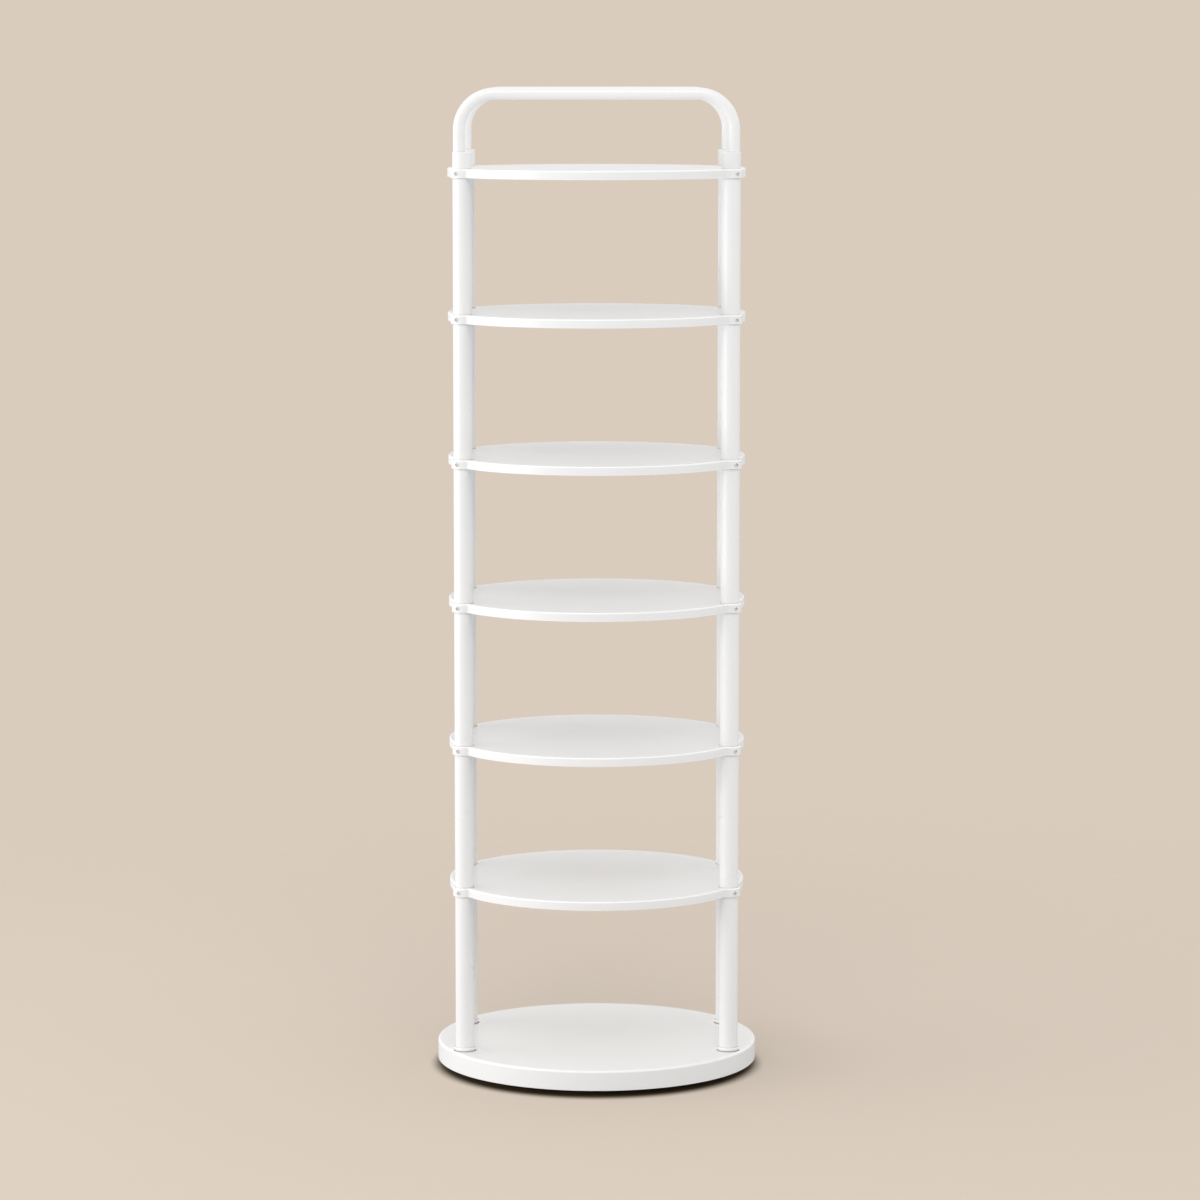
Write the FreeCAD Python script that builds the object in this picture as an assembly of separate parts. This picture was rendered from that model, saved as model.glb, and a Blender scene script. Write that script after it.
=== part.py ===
import FreeCAD, Part
import math
import os

# Round shoe rack: a disc base on a turntable, six round shelves, four tube posts and two bows.
# Millimetres, +Z up, origin on the floor on the turning axis, front towards -Y.

# Shelves
shelf_count = 6
shelf_radius = 200.0
shelf_thickness = 12.0
shelf_skin = 2.6
shelf_rim_wall = 2.6
shelf_top_round = 1.8
shelf_bottom_round = 1.0
shelf_rib_width = 2.0
shelf_rib_lift = 1.2
shelf_rib_rings = (60.0, 130.0)
shelf_rib_spokes = 12
ear_wall = 2.5
ear_blend = 2.0

# Heights between the shelves
lowest_bay = 212.0
shelf_bay = 180.5

# Posts, made of three lengths of tube each
post_radius = 12.5
post_wall = 1.2
post_axis_inset = 1.5
post_azimuth = 63.7
post_hole_clearance = 0.4
joint_shelves = (2, 4)
joint_above_underside = 2.5
joint_sleeve_length = 64.0
joint_sleeve_wall = 2.0
inner_fit = 0.1

# Screws that clamp the ears to the posts
shelf_screw_azimuth = 30.0
shelf_screw_radius = 2.0
shelf_screw_head_radius = 3.6
shelf_screw_head_height = 2.4
shelf_screw_tip_gap = 0.1
screw_fit = 0.05
spot_face_depth = 0.5
cross_slot_width = 0.9
cross_slot_length = 4.2
cross_slot_depth = 1.3
cross_slot_turns = (45.0, 135.0)

# Sockets on the post tops and the two bows in them
socket_height = 22.0
socket_overhang = 0.25
socket_spigot_length = 30.0
socket_core_radius = 7.0
socket_floor = 3.0
socket_edge_round = 0.5
bow_radius = 8.0
bow_wall = 1.5
bow_bend_radius = 48.0
bow_rise = 107.0
bow_insert = 16.0
bow_fit = 0.1
front_bow_spread = 3.7
rear_bow_spread = 0.0

# Base shell
base_height = 27.0
base_skin = 3.0
base_rim_wall = 3.0
base_top_round = 3.0
base_bottom_round = 1.0
base_skirt_drop = 10.0
foot_margin = 6.0
base_rib_width = 2.5
base_rib_spokes = 16
race_wall_width = 3.0
screw_boss_radius = 5.0
hub_radius = 10.0

# Post feet in the base
foot_bush_wall = 1.5
foot_bush_fit = 0.1
foot_bush_rise = 5.0
foot_bush_depth = 10.0
foot_bush_round = 1.0
foot_ring_gap = 0.7
foot_boss_wall = 2.8
foot_boss_floor = 3.0
foot_bore_fit = 0.3
end_plug_length = 30.0
bolt_radius = 3.0
bolt_length = 22.0
bolt_head_flats = 10.0
bolt_head_height = 4.0
bolt_hole_fit = 0.3
bolt_head_room = 0.5
bolt_washer_radius = 6.2
bolt_washer_thickness = 1.5
bolt_washer_fit = 0.2

# Turntable: foot disc, races, balls and cage
pad_radius = 13.0
pad_thickness = 4.0
pad_recess = 1.0
pad_fit = 0.2
pad_count = 6
pad_inset = 22.0
pad_edge = 0.8
foot_disc_side_gap = 9.0
foot_disc_plate = 3.0
foot_disc_rim_height = 11.0
foot_disc_rim_wall = 3.0
foot_disc_rim_round = 1.2
foot_disc_rib_height = 2.5
foot_disc_rib_width = 3.0
foot_disc_rib_count = 12
race_seat_height = 3.0
race_thickness = 3.0
ball_circle_radius = 100.0
race_inner_margin = 10.0
race_outer_margin = 18.0
ball_radius = 3.0
ball_count = 24
ball_proud = 1.5
ball_groove_fit = 0.15
cage_thickness = 1.6
cage_half_width = 6.0
cage_ball_fit = 0.1
race_screw_inset = 6.0
race_screw_count = 6
race_screw_radius = 2.0
race_screw_head_radius = 3.9
race_screw_head_height = 1.9
race_screw_end_gap = 0.5
upper_screw_bite = 10.0

# Centre pivot
pivot_recess = 5.5
pivot_recess_radius = 12.0
pivot_hub_plate = 3.0
pivot_hub_radius = 20.0
pivot_shoulder_radius = 4.0
pivot_thread_radius = 3.0
pivot_thread_length = 15.0
pivot_head_radius = 6.5
pivot_head_height = 3.6
pivot_washer_radius = 9.0
pivot_washer_thickness = 1.5
pivot_running_gap = 0.3
pivot_end_gap = 0.2
hub_gap = 0.5
bore_end_gap = 1.0

# Sizes and places that follow from those above
post_inner_radius = post_radius - post_wall
post_ring_radius = shelf_radius - post_axis_inset
post_hole_radius = post_radius + post_hole_clearance
ear_radius = post_hole_radius + ear_wall
base_radius = post_ring_radius + post_radius + foot_margin
plug_radius = post_inner_radius - inner_fit

foot_disc_z = pad_thickness - pad_recess
foot_plate_top = foot_disc_z + foot_disc_plate
lower_race_z = foot_plate_top + race_seat_height
lower_race_top = lower_race_z + race_thickness
ball_z = lower_race_top + ball_proud
upper_race_z = ball_z + ball_proud
upper_race_top = upper_race_z + race_thickness

base_z = upper_race_top - base_skirt_drop
base_top = base_z + base_height
base_plate_z = base_top - base_skin

foot_boss_z = base_z + bolt_head_room + bolt_head_height + bolt_washer_thickness
post_foot_z = foot_boss_z + foot_boss_floor
foot_bush_z = base_top - foot_bush_depth
foot_bush_radius = post_radius + foot_bush_wall
foot_socket_radius = foot_bush_radius + foot_ring_gap
foot_boss_radius = foot_socket_radius + foot_boss_wall
foot_disc_radius = post_ring_radius - foot_boss_radius - foot_disc_side_gap
pad_circle_radius = foot_disc_radius - pad_inset
race_inner_radius = ball_circle_radius - race_inner_margin
race_outer_radius = ball_circle_radius + race_outer_margin
race_screw_circle = race_outer_radius - race_screw_inset

pivot_underside = foot_disc_z + pivot_recess
pivot_hub_top = pivot_underside + pivot_hub_plate
hub_z = pivot_hub_top + hub_gap

shelf_pitch = shelf_bay + shelf_thickness
top_shelf_top = base_top + lowest_bay + shelf_thickness + (shelf_count - 1) * shelf_pitch
socket_top = top_shelf_top + socket_height
socket_bore_z = socket_top - bow_insert
socket_radius = post_radius + socket_overhang
bow_bar_z = top_shelf_top + bow_rise - bow_radius
spot_face_reach = ear_radius - spot_face_depth
shelf_screw_tip_reach = post_inner_radius + shelf_screw_tip_gap

# A hair of extra length that lets a cutting body run clean through a face
through = 1.0
level_tolerance = 1e-4

UP = FreeCAD.Vector(0, 0, 1)


def vec(x, y, z=0.0):
    return FreeCAD.Vector(x, y, z)


def polar(radius, degrees, z=0.0):
    angle = math.radians(degrees)
    return vec(radius * math.cos(angle), radius * math.sin(angle), z)


def cylinder(radius, z_low, z_high, centre=None):
    x, y = (centre.x, centre.y) if centre else (0.0, 0.0)
    return Part.makeCylinder(radius, z_high - z_low, vec(x, y, z_low))


def ring(inner, outer, z_low, z_high, centre=None):
    hole = cylinder(inner, z_low - through, z_high + through, centre)
    return cylinder(outer, z_low, z_high, centre).cut(hole)


def level_edges(shape, z):
    """Edges that lie in the plane at height z."""
    found = []
    for edge in shape.Edges:
        box = edge.BoundBox
        if max(abs(box.ZMin - z), abs(box.ZMax - z)) < level_tolerance:
            found.append(edge)
    return found


def circle_edges(shape, z, radius):
    """Edges in the plane at height z that are arcs of the given radius."""
    found = []
    for edge in level_edges(shape, z):
        if hasattr(edge.Curve, "Radius") and abs(edge.Curve.Radius - radius) < level_tolerance:
            found.append(edge)
    return found


def bar(length, width, z_low, z_high, degrees, start):
    """A straight rib along one spoke, from radius start outwards."""
    box = Part.makeBox(length, width, z_high - z_low, vec(start, -width / 2, z_low))
    box.rotate(vec(0, 0, 0), UP, degrees)
    return box


# Posts stand at equal azimuths from the front and from the back
post_turns = {
    "front_right": post_azimuth - 90.0,
    "rear_right": 90.0 - post_azimuth,
    "rear_left": 90.0 + post_azimuth,
    "front_left": 270.0 - post_azimuth,
}


def post_centre(name):
    return polar(post_ring_radius, post_turns[name])


def side_x(name):
    return 1.0 if name.endswith("right") else -1.0


def side_y(name):
    return 1.0 if name.startswith("rear") else -1.0


def screw_direction(name):
    turn = math.radians(shelf_screw_azimuth)
    return vec(side_x(name) * math.sin(turn), side_y(name) * math.cos(turn))


def shelf_top(number):
    return base_top + lowest_bay + shelf_thickness + (number - 1) * shelf_pitch


def shelf_screw_z(number):
    return shelf_top(number) - shelf_thickness / 2


def joint_z(number):
    return shelf_top(number) - shelf_thickness + joint_above_underside


# Shelf
def blended_outline():
    """Closed outline of the disc with its four ears, every corner blended with a small arc."""
    reach = shelf_radius + ear_blend
    span = ear_radius + ear_blend
    cosine = (post_ring_radius ** 2 + reach ** 2 - span ** 2) / (2 * post_ring_radius * reach)
    turn = math.degrees(math.acos(cosine))
    turns = sorted(value % 360.0 for value in post_turns.values())
    edges = []
    for index, at in enumerate(turns):
        centre = polar(post_ring_radius, at)
        ends = []
        for sign in (-1, 1):
            hollow = polar(reach, at + sign * turn)
            on_rim = polar(shelf_radius, at + sign * turn)
            out = (hollow - centre).normalize()
            on_ear = centre + out * ear_radius
            middle = ((on_rim - hollow).normalize() + (on_ear - hollow).normalize()).normalize()
            ends.append((on_rim, hollow + middle * ear_blend, on_ear))
        tip = centre + polar(ear_radius, at)
        edges.append(Part.Arc(*ends[0]).toShape())
        edges.append(Part.Arc(ends[0][2], tip, ends[1][2]).toShape())
        edges.append(Part.Arc(ends[1][2], ends[1][1], ends[1][0]).toShape())
        following = turns[(index + 1) % len(turns)]
        if following < at:
            following += 360.0
        rim_middle = polar(shelf_radius, (at + following) / 2)
        rim_end = polar(shelf_radius, following - turn)
        edges.append(Part.Arc(ends[1][0], rim_middle, rim_end).toShape())
    return Part.Wire(Part.__sortEdges__(edges))


def shelf_ribs(z_low, z_high):
    half = shelf_rib_width / 2
    ribs = [ring(radius - half, radius + half, z_low, z_high) for radius in shelf_rib_rings]
    start = shelf_rib_rings[0] - half
    for index in range(shelf_rib_spokes):
        turn = index * 360.0 / shelf_rib_spokes
        ribs.append(bar(shelf_radius - start, shelf_rib_width, z_low, z_high, turn, start))
    return ribs


def screw_hole(name, z, radius, from_reach, to_reach):
    """A cylinder along one ear screw's direction, between two distances from the post's axis."""
    way = screw_direction(name)
    start = post_centre(name) + way * from_reach + vec(0, 0, z)
    return Part.makeCylinder(radius, to_reach - from_reach, start, way)


def make_shelf_plate():
    """One shelf with its top face at height zero."""
    face = Part.Face(blended_outline())
    plate = face.extrude(vec(0, 0, -shelf_thickness))
    plate = plate.makeFillet(shelf_top_round, level_edges(plate, 0.0))
    plate = plate.makeFillet(shelf_bottom_round, level_edges(plate, -shelf_thickness))
    low = -shelf_thickness - through
    pocket = cylinder(shelf_radius - shelf_rim_wall, low, -shelf_skin)
    keep = shelf_ribs(-shelf_thickness + shelf_rib_lift, -shelf_skin)
    keep += [cylinder(ear_radius, low, -shelf_skin, post_centre(name)) for name in post_turns]
    plate = plate.cut(pocket.cut(keep))
    cuts = [cylinder(post_hole_radius, low, through, post_centre(name)) for name in post_turns]
    middle = -shelf_thickness / 2
    for name in post_turns:
        cuts.append(screw_hole(name, middle, shelf_screw_radius + screw_fit, post_radius, spot_face_reach))
        spot = shelf_screw_head_radius + screw_fit
        cuts.append(screw_hole(name, middle, spot, spot_face_reach, ear_radius + through))
    return plate.cut(cuts)


def make_shelf(plate, number):
    shelf = plate.copy()
    shelf.translate(vec(0, 0, shelf_top(number)))
    return shelf


def make_shelf_screw():
    """A round-headed screw along +Z, its head's flat underside at height zero."""
    length = spot_face_reach - shelf_screw_tip_reach
    shank = cylinder(shelf_screw_radius, -length, 0.0)
    height = shelf_screw_head_height
    dome_radius = (shelf_screw_head_radius ** 2 + height ** 2) / (2 * height)
    dome = Part.makeSphere(dome_radius, vec(0, 0, height - dome_radius))
    head = dome.common(cylinder(shelf_screw_head_radius, 0.0, height))
    screw = head.fuse(shank).removeSplitter()
    slots = []
    for turn in cross_slot_turns:
        box = Part.makeBox(
            cross_slot_length,
            cross_slot_width,
            cross_slot_depth + through,
            vec(-cross_slot_length / 2, -cross_slot_width / 2, height - cross_slot_depth),
        )
        box.rotate(vec(0, 0, 0), UP, turn)
        slots.append(box)
    return screw.cut(slots)


def make_shelf_screws():
    screw = make_shelf_screw()
    screws = []
    for number in range(1, shelf_count + 1):
        for name in post_turns:
            way = screw_direction(name)
            placed = screw.copy()
            place = post_centre(name) + way * spot_face_reach + vec(0, 0, shelf_screw_z(number))
            placed.Placement = FreeCAD.Placement(place, FreeCAD.Rotation(UP, way))
            screws.append(placed)
    return Part.makeCompound(screws)


# Posts
def make_tube(name, z_low, z_high):
    tube = ring(post_inner_radius, post_radius, z_low, z_high, post_centre(name))
    cuts = []
    for number in range(1, shelf_count + 1):
        if z_low < shelf_screw_z(number) < z_high:
            hole = shelf_screw_radius + screw_fit
            reach = post_inner_radius - through
            cuts.append(screw_hole(name, shelf_screw_z(number), hole, reach, post_radius + through))
    return tube.cut(cuts) if cuts else tube


def make_joint_sleeve(name, number):
    half = joint_sleeve_length / 2
    middle = joint_z(number)
    inner = plug_radius - joint_sleeve_wall
    sleeve = ring(inner, plug_radius, middle - half, middle + half, post_centre(name))
    return sleeve


def make_end_plug(name):
    centre = post_centre(name)
    return ring(bolt_radius + screw_fit, plug_radius, post_foot_z, post_foot_z + end_plug_length, centre)


def make_foot_bush(name):
    centre = post_centre(name)
    top = base_top + foot_bush_rise
    bush = ring(post_radius + foot_bush_fit, foot_bush_radius, foot_bush_z, top, centre)
    return bush.makeFillet(foot_bush_round, circle_edges(bush, top, foot_bush_radius))


def hexagon(flats, z_low, z_high, centre):
    corner = flats / 2 / math.cos(math.pi / 6)
    points = [centre + polar(corner, 60.0 * index) + vec(0, 0, z_low) for index in range(6)]
    face = Part.Face(Part.makePolygon(points + points[:1]))
    return face.extrude(vec(0, 0, z_high - z_low))


def make_post_bolts():
    bolts = []
    head_top = foot_boss_z - bolt_washer_thickness
    for name in post_turns:
        centre = post_centre(name)
        head = hexagon(bolt_head_flats, head_top - bolt_head_height, head_top, centre)
        shank = cylinder(bolt_radius, head_top, head_top + bolt_length, centre)
        bolts.append(head.fuse(shank))
    return Part.makeCompound(bolts)


def make_bolt_washers():
    washers = []
    for name in post_turns:
        low = foot_boss_z - bolt_washer_thickness
        hole = bolt_radius + bolt_washer_fit
        washers.append(ring(hole, bolt_washer_radius, low, foot_boss_z, post_centre(name)))
    return Part.makeCompound(washers)


# Sockets and bows
def bow_spread(name):
    return rear_bow_spread if name.startswith("rear") else front_bow_spread


def leg_centre(name):
    return post_centre(name) + vec(side_x(name) * bow_spread(name), 0)


def make_socket(name):
    centre = post_centre(name)
    low = joint_z(shelf_count)
    socket = cylinder(socket_radius, low, socket_top, centre)
    socket = socket.makeFillet(socket_edge_round, circle_edges(socket, socket_top, socket_radius))
    socket = socket.fuse(cylinder(plug_radius, low - socket_spigot_length, low, centre))
    core_top = socket_bore_z - socket_floor
    cuts = [
        cylinder(bow_radius + bow_fit, socket_bore_z, socket_top + through, leg_centre(name)),
        cylinder(socket_core_radius, low - socket_spigot_length - through, core_top, centre),
    ]
    reach = shelf_screw_tip_reach - screw_fit
    hole = shelf_screw_radius + screw_fit
    cuts.append(screw_hole(name, shelf_screw_z(shelf_count), hole, reach, socket_radius + through))
    return socket.cut(cuts)


def bow_path(left, right):
    """Centreline of a bow: a leg, a bend, the bar, a bend and a leg."""
    y = left.y
    bend = bow_bend_radius
    shoulder = bow_bar_z - bend
    diagonal = bend * math.sqrt(0.5)
    left_bend = vec(left.x + bend, y, shoulder)
    right_bend = vec(right.x - bend, y, shoulder)
    foot_left = vec(left.x, y, socket_bore_z)
    top_left = vec(left.x, y, shoulder)
    bar_left = vec(left.x + bend, y, bow_bar_z)
    bar_right = vec(right.x - bend, y, bow_bar_z)
    top_right = vec(right.x, y, shoulder)
    foot_right = vec(right.x, y, socket_bore_z)
    edges = [
        Part.makeLine(foot_left, top_left),
        Part.Arc(top_left, left_bend + vec(-diagonal, 0, diagonal), bar_left).toShape(),
        Part.makeLine(bar_left, bar_right),
        Part.Arc(bar_right, right_bend + vec(diagonal, 0, diagonal), top_right).toShape(),
        Part.makeLine(top_right, foot_right),
    ]
    return Part.Wire(edges)


def make_bow(place):
    left = leg_centre(place + "_left")
    right = leg_centre(place + "_right")
    path = bow_path(left, right)
    start = vec(left.x, left.y, socket_bore_z)
    solids = []
    for radius in (bow_radius, bow_radius - bow_wall):
        profile = Part.Wire(Part.makeCircle(radius, start, UP))
        solids.append(path.makePipeShell([profile], True, False))
    return solids[0].cut(solids[1])


# Base shell
def base_ribs(z_low, z_high):
    inner = race_inner_radius
    outer = race_outer_radius
    ribs = [
        ring(inner, inner + race_wall_width, z_low, z_high),
        ring(outer - race_wall_width, outer, z_low, z_high),
    ]
    for index in range(base_rib_spokes):
        turn = (index + 0.5) * 360.0 / base_rib_spokes
        ribs.append(bar(base_radius - outer, base_rib_width, z_low, z_high, turn, outer - race_wall_width))
        ribs.append(bar(inner, base_rib_width, z_low, z_high, turn, 0.0))
    return ribs


def upper_screw_turn(index):
    return index * 360.0 / race_screw_count


def lower_screw_turn(index):
    return (index + 0.5) * 360.0 / race_screw_count


def make_base_shell():
    shell = cylinder(base_radius, base_z, base_top)
    shell = shell.makeFillet(base_top_round, circle_edges(shell, base_top, base_radius))
    shell = shell.makeFillet(base_bottom_round, circle_edges(shell, base_z, base_radius))
    pocket = cylinder(base_radius - base_rim_wall, base_z - through, base_plate_z)
    keep = base_ribs(upper_race_top, base_plate_z)
    keep.append(cylinder(hub_radius, hub_z, base_plate_z))
    for index in range(race_screw_count):
        centre = polar(race_screw_circle, upper_screw_turn(index))
        keep.append(cylinder(screw_boss_radius, upper_race_top, base_plate_z, centre))
    for name in post_turns:
        keep.append(cylinder(foot_boss_radius, foot_boss_z, base_plate_z, post_centre(name)))
    shell = shell.cut(pocket.cut(keep))
    cuts = [cylinder(pivot_thread_radius + screw_fit, hub_z - through, pivot_bore_top())]
    for name in post_turns:
        centre = post_centre(name)
        cuts.append(cylinder(foot_socket_radius, foot_bush_z, base_top + through, centre))
        cuts.append(cylinder(post_radius + foot_bore_fit, post_foot_z, foot_bush_z + through, centre))
        bolt_hole = bolt_radius + bolt_hole_fit
        cuts.append(cylinder(bolt_hole, foot_boss_z - through, post_foot_z + through, centre))
    screw_top = upper_race_top + upper_screw_bite + bore_end_gap
    for index in range(race_screw_count):
        centre = polar(race_screw_circle, upper_screw_turn(index))
        cuts.append(cylinder(race_screw_radius + screw_fit, upper_race_top - through, screw_top, centre))
    return shell.cut(cuts)


def pivot_bore_top():
    return hub_z + pivot_thread_length + bore_end_gap


# Turntable
def make_foot_disc():
    disc = cylinder(foot_disc_radius, foot_disc_z, foot_disc_z + foot_disc_rim_height)
    rim_top = foot_disc_z + foot_disc_rim_height
    disc = disc.makeFillet(foot_disc_rim_round, circle_edges(disc, rim_top, foot_disc_radius))
    inside = foot_disc_radius - foot_disc_rim_wall
    hollow = cylinder(inside, foot_plate_top, rim_top + through)
    keep = [
        ring(race_inner_radius, race_outer_radius, foot_plate_top, lower_race_z),
        cylinder(pivot_hub_radius, foot_plate_top, pivot_hub_top),
    ]
    rib_top = foot_plate_top + foot_disc_rib_height
    for index in range(foot_disc_rib_count):
        turn = index * 360.0 / foot_disc_rib_count
        keep.append(bar(foot_disc_radius, foot_disc_rib_width, foot_plate_top, rib_top, turn, 0.0))
    disc = disc.cut(hollow.cut(keep))
    cuts = [
        cylinder(pivot_recess_radius, foot_disc_z - through, pivot_underside),
        cylinder(pivot_shoulder_radius + pivot_running_gap, foot_disc_z, pivot_hub_top + through),
    ]
    for index in range(pad_count):
        centre = polar(pad_circle_radius, index * 360.0 / pad_count)
        cuts.append(cylinder(pad_radius + pad_fit, foot_disc_z - through, pad_thickness, centre))
    for index in range(race_screw_count):
        centre = polar(race_screw_circle, lower_screw_turn(index))
        cuts.append(cylinder(race_screw_radius + screw_fit, foot_disc_z, lower_race_z + through, centre))
        cuts.append(countersink(foot_disc_z, centre, screw_fit))
    return disc.cut(cuts)


def countersink(z, centre, fit):
    """The cone of a flat-headed screw, widest at height z and narrowing upwards."""
    wide = race_screw_head_radius + fit
    narrow = race_screw_radius + fit
    return Part.makeCone(wide, narrow, race_screw_head_height, vec(centre.x, centre.y, z))


def race_groove():
    return Part.makeTorus(ball_circle_radius, ball_radius + ball_groove_fit, vec(0, 0, ball_z))


def make_lower_race():
    race = ring(race_inner_radius, race_outer_radius, lower_race_z, lower_race_top)
    cuts = [race_groove()]
    for index in range(race_screw_count):
        centre = polar(race_screw_circle, lower_screw_turn(index))
        hole = race_screw_radius + screw_fit
        cuts.append(cylinder(hole, lower_race_z - through, lower_race_top + through, centre))
    return race.cut(cuts)


def make_upper_race():
    race = ring(race_inner_radius, race_outer_radius, upper_race_z, upper_race_top)
    cuts = [race_groove()]
    for index in range(race_screw_count):
        centre = polar(race_screw_circle, upper_screw_turn(index))
        hole = race_screw_radius + screw_fit
        cuts.append(cylinder(hole, upper_race_z, upper_race_top + through, centre))
        cuts.append(countersink(upper_race_z, centre, screw_fit))
    return race.cut(cuts)


def make_race_screws(z_head, z_tip, turn_of):
    screws = []
    for index in range(race_screw_count):
        centre = polar(race_screw_circle, turn_of(index))
        shank = cylinder(race_screw_radius, z_head, z_tip, centre)
        screws.append(shank.fuse(countersink(z_head, centre, 0.0)).removeSplitter())
    return Part.makeCompound(screws)


def ball_centres():
    return [polar(ball_circle_radius, index * 360.0 / ball_count, ball_z) for index in range(ball_count)]


def make_cage():
    half = cage_thickness / 2
    inner = ball_circle_radius - cage_half_width
    outer = ball_circle_radius + cage_half_width
    cage = ring(inner, outer, ball_z - half, ball_z + half)
    return cage.cut([Part.makeSphere(ball_radius + cage_ball_fit, centre) for centre in ball_centres()])


def make_balls():
    return Part.makeCompound([Part.makeSphere(ball_radius, centre) for centre in ball_centres()])


def make_pad(index):
    centre = polar(pad_circle_radius, index * 360.0 / pad_count)
    pad = cylinder(pad_radius, 0.0, pad_thickness, centre)
    return pad.makeChamfer(pad_edge, circle_edges(pad, 0.0, pad_radius))


def make_pivot_screw():
    washer_top = pivot_underside - pivot_end_gap
    head_top = washer_top - pivot_washer_thickness
    head = cylinder(pivot_head_radius, head_top - pivot_head_height, head_top)
    shoulder = cylinder(pivot_shoulder_radius, head_top, hub_z)
    thread = cylinder(pivot_thread_radius, hub_z, hub_z + pivot_thread_length)
    return head.fuse([shoulder, thread]).removeSplitter()


def make_pivot_washer():
    top = pivot_underside - pivot_end_gap
    hole = pivot_shoulder_radius + screw_fit
    return ring(hole, pivot_washer_radius, top - pivot_washer_thickness, top)


def all_nodes():
    nodes = {}
    nodes["foot_disc"] = make_foot_disc()
    for index in range(pad_count):
        nodes["foot_pad_%d" % (index + 1)] = make_pad(index)
    nodes["lower_race"] = make_lower_race()
    lower_tip = lower_race_top - race_screw_end_gap
    nodes["lower_race_screws"] = make_race_screws(foot_disc_z, lower_tip, lower_screw_turn)
    nodes["ball_cage"] = make_cage()
    nodes["bearing_balls"] = make_balls()
    nodes["upper_race"] = make_upper_race()
    upper_tip = upper_race_top + upper_screw_bite
    nodes["upper_race_screws"] = make_race_screws(upper_race_z, upper_tip, upper_screw_turn)
    nodes["pivot_screw"] = make_pivot_screw()
    nodes["pivot_washer"] = make_pivot_washer()
    nodes["base_shell"] = make_base_shell()
    nodes["post_bolts"] = make_post_bolts()
    nodes["bolt_washers"] = make_bolt_washers()
    levels = [post_foot_z] + [joint_z(number) for number in joint_shelves + (shelf_count,)]
    lengths = ("lower", "middle", "upper")
    for name in post_turns:
        nodes["end_plug_" + name] = make_end_plug(name)
        nodes["foot_bush_" + name] = make_foot_bush(name)
        for index, length in enumerate(lengths):
            nodes["post_%s_%s" % (name, length)] = make_tube(name, levels[index], levels[index + 1])
        for number in joint_shelves:
            nodes["joint_sleeve_%s_%d" % (name, number)] = make_joint_sleeve(name, number)
        nodes["bow_socket_" + name] = make_socket(name)
    plate = make_shelf_plate()
    for number in range(1, shelf_count + 1):
        nodes["shelf_%d" % number] = make_shelf(plate, number)
    nodes["shelf_screws"] = make_shelf_screws()
    nodes["bow_front"] = make_bow("front")
    nodes["bow_rear"] = make_bow("rear")
    return nodes


def main():
    os.makedirs("parts", exist_ok=True)
    for node, shape in all_nodes().items():
        shape.exportStep("parts/%s.step" % node)


main()
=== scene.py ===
import math

import bmesh
import bpy
import numpy as np
from bpy.props import FloatProperty, FloatVectorProperty, IntProperty, PointerProperty
from bpy.types import Operator, Panel, PropertyGroup
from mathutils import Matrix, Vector


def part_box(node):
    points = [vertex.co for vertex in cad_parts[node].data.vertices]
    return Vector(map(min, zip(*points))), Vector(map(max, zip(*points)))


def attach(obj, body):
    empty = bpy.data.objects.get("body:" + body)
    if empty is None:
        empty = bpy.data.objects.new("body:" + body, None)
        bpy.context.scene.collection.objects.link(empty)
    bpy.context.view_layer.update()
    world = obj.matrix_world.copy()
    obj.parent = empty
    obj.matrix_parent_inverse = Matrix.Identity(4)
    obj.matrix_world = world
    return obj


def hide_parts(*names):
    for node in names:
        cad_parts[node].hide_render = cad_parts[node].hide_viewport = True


bl_info = {
    "name": "Round shoe rack",
    "version": (1, 0, 0),
    "blender": (4, 5, 0),
    "location": "3D View > Sidebar > Shoe rack",
    "description": "Surfaces, finishes and studio for a round shoe rack on a turntable",
    "category": "Object",
}

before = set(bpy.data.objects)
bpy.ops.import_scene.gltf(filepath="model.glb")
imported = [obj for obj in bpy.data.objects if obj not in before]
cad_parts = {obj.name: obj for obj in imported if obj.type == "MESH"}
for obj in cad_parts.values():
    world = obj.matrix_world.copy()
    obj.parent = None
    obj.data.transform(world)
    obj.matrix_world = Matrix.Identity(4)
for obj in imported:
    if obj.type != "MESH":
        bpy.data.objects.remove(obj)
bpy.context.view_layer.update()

MM = 0.001
ROUND = 2 * np.pi
UP = np.array([0.0, 0.0, 1.0])
CORNERS = ("front_right", "rear_right", "rear_left", "front_left")
LENGTHS = ("lower", "middle", "upper")
BOWS = ("front", "rear")
SHELVES = 6
# How near points are merged, in metres, and how near angles count as the same, in radians
MERGE, SAME = 2e-6, 1e-9
# Outward bend between faces, in degrees, at which an edge starts to get the painted highlight and lower
# roughness, and at which it fully does
EDGE_STARTS, EDGE_FULL = 4.0, 12.0


def box_of(node):
    """Lowest and highest corner of a node's box."""
    low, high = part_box(node)
    return np.array(low), np.array(high)


shelf_low, shelf_high = box_of("shelf_1")
post_low, post_high = box_of("post_front_right_middle")
base_low, base_high = box_of("base_shell")
bush_low, bush_high = box_of("foot_bush_front_right")
socket_low, socket_high = box_of("bow_socket_front_right")
front_bow_low, front_bow_high = box_of("bow_front")
post_middle = (post_low + post_high) / 2
POST_RING = math.hypot(post_middle[0], post_middle[1])
POST_TURN = math.atan2(-post_middle[1], post_middle[0])
SHELF_TOPS = [box_of("shelf_%d" % number)[1][2] for number in range(1, SHELVES + 1)]


def side_x(corner):
    """1 for a post at the right and -1 for one at the left."""
    return 1.0 if corner.endswith("right") else -1.0


def side_y(corner):
    """1 for a rear post and -1 for one in front."""
    return 1.0 if corner.startswith("rear") else -1.0


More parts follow.
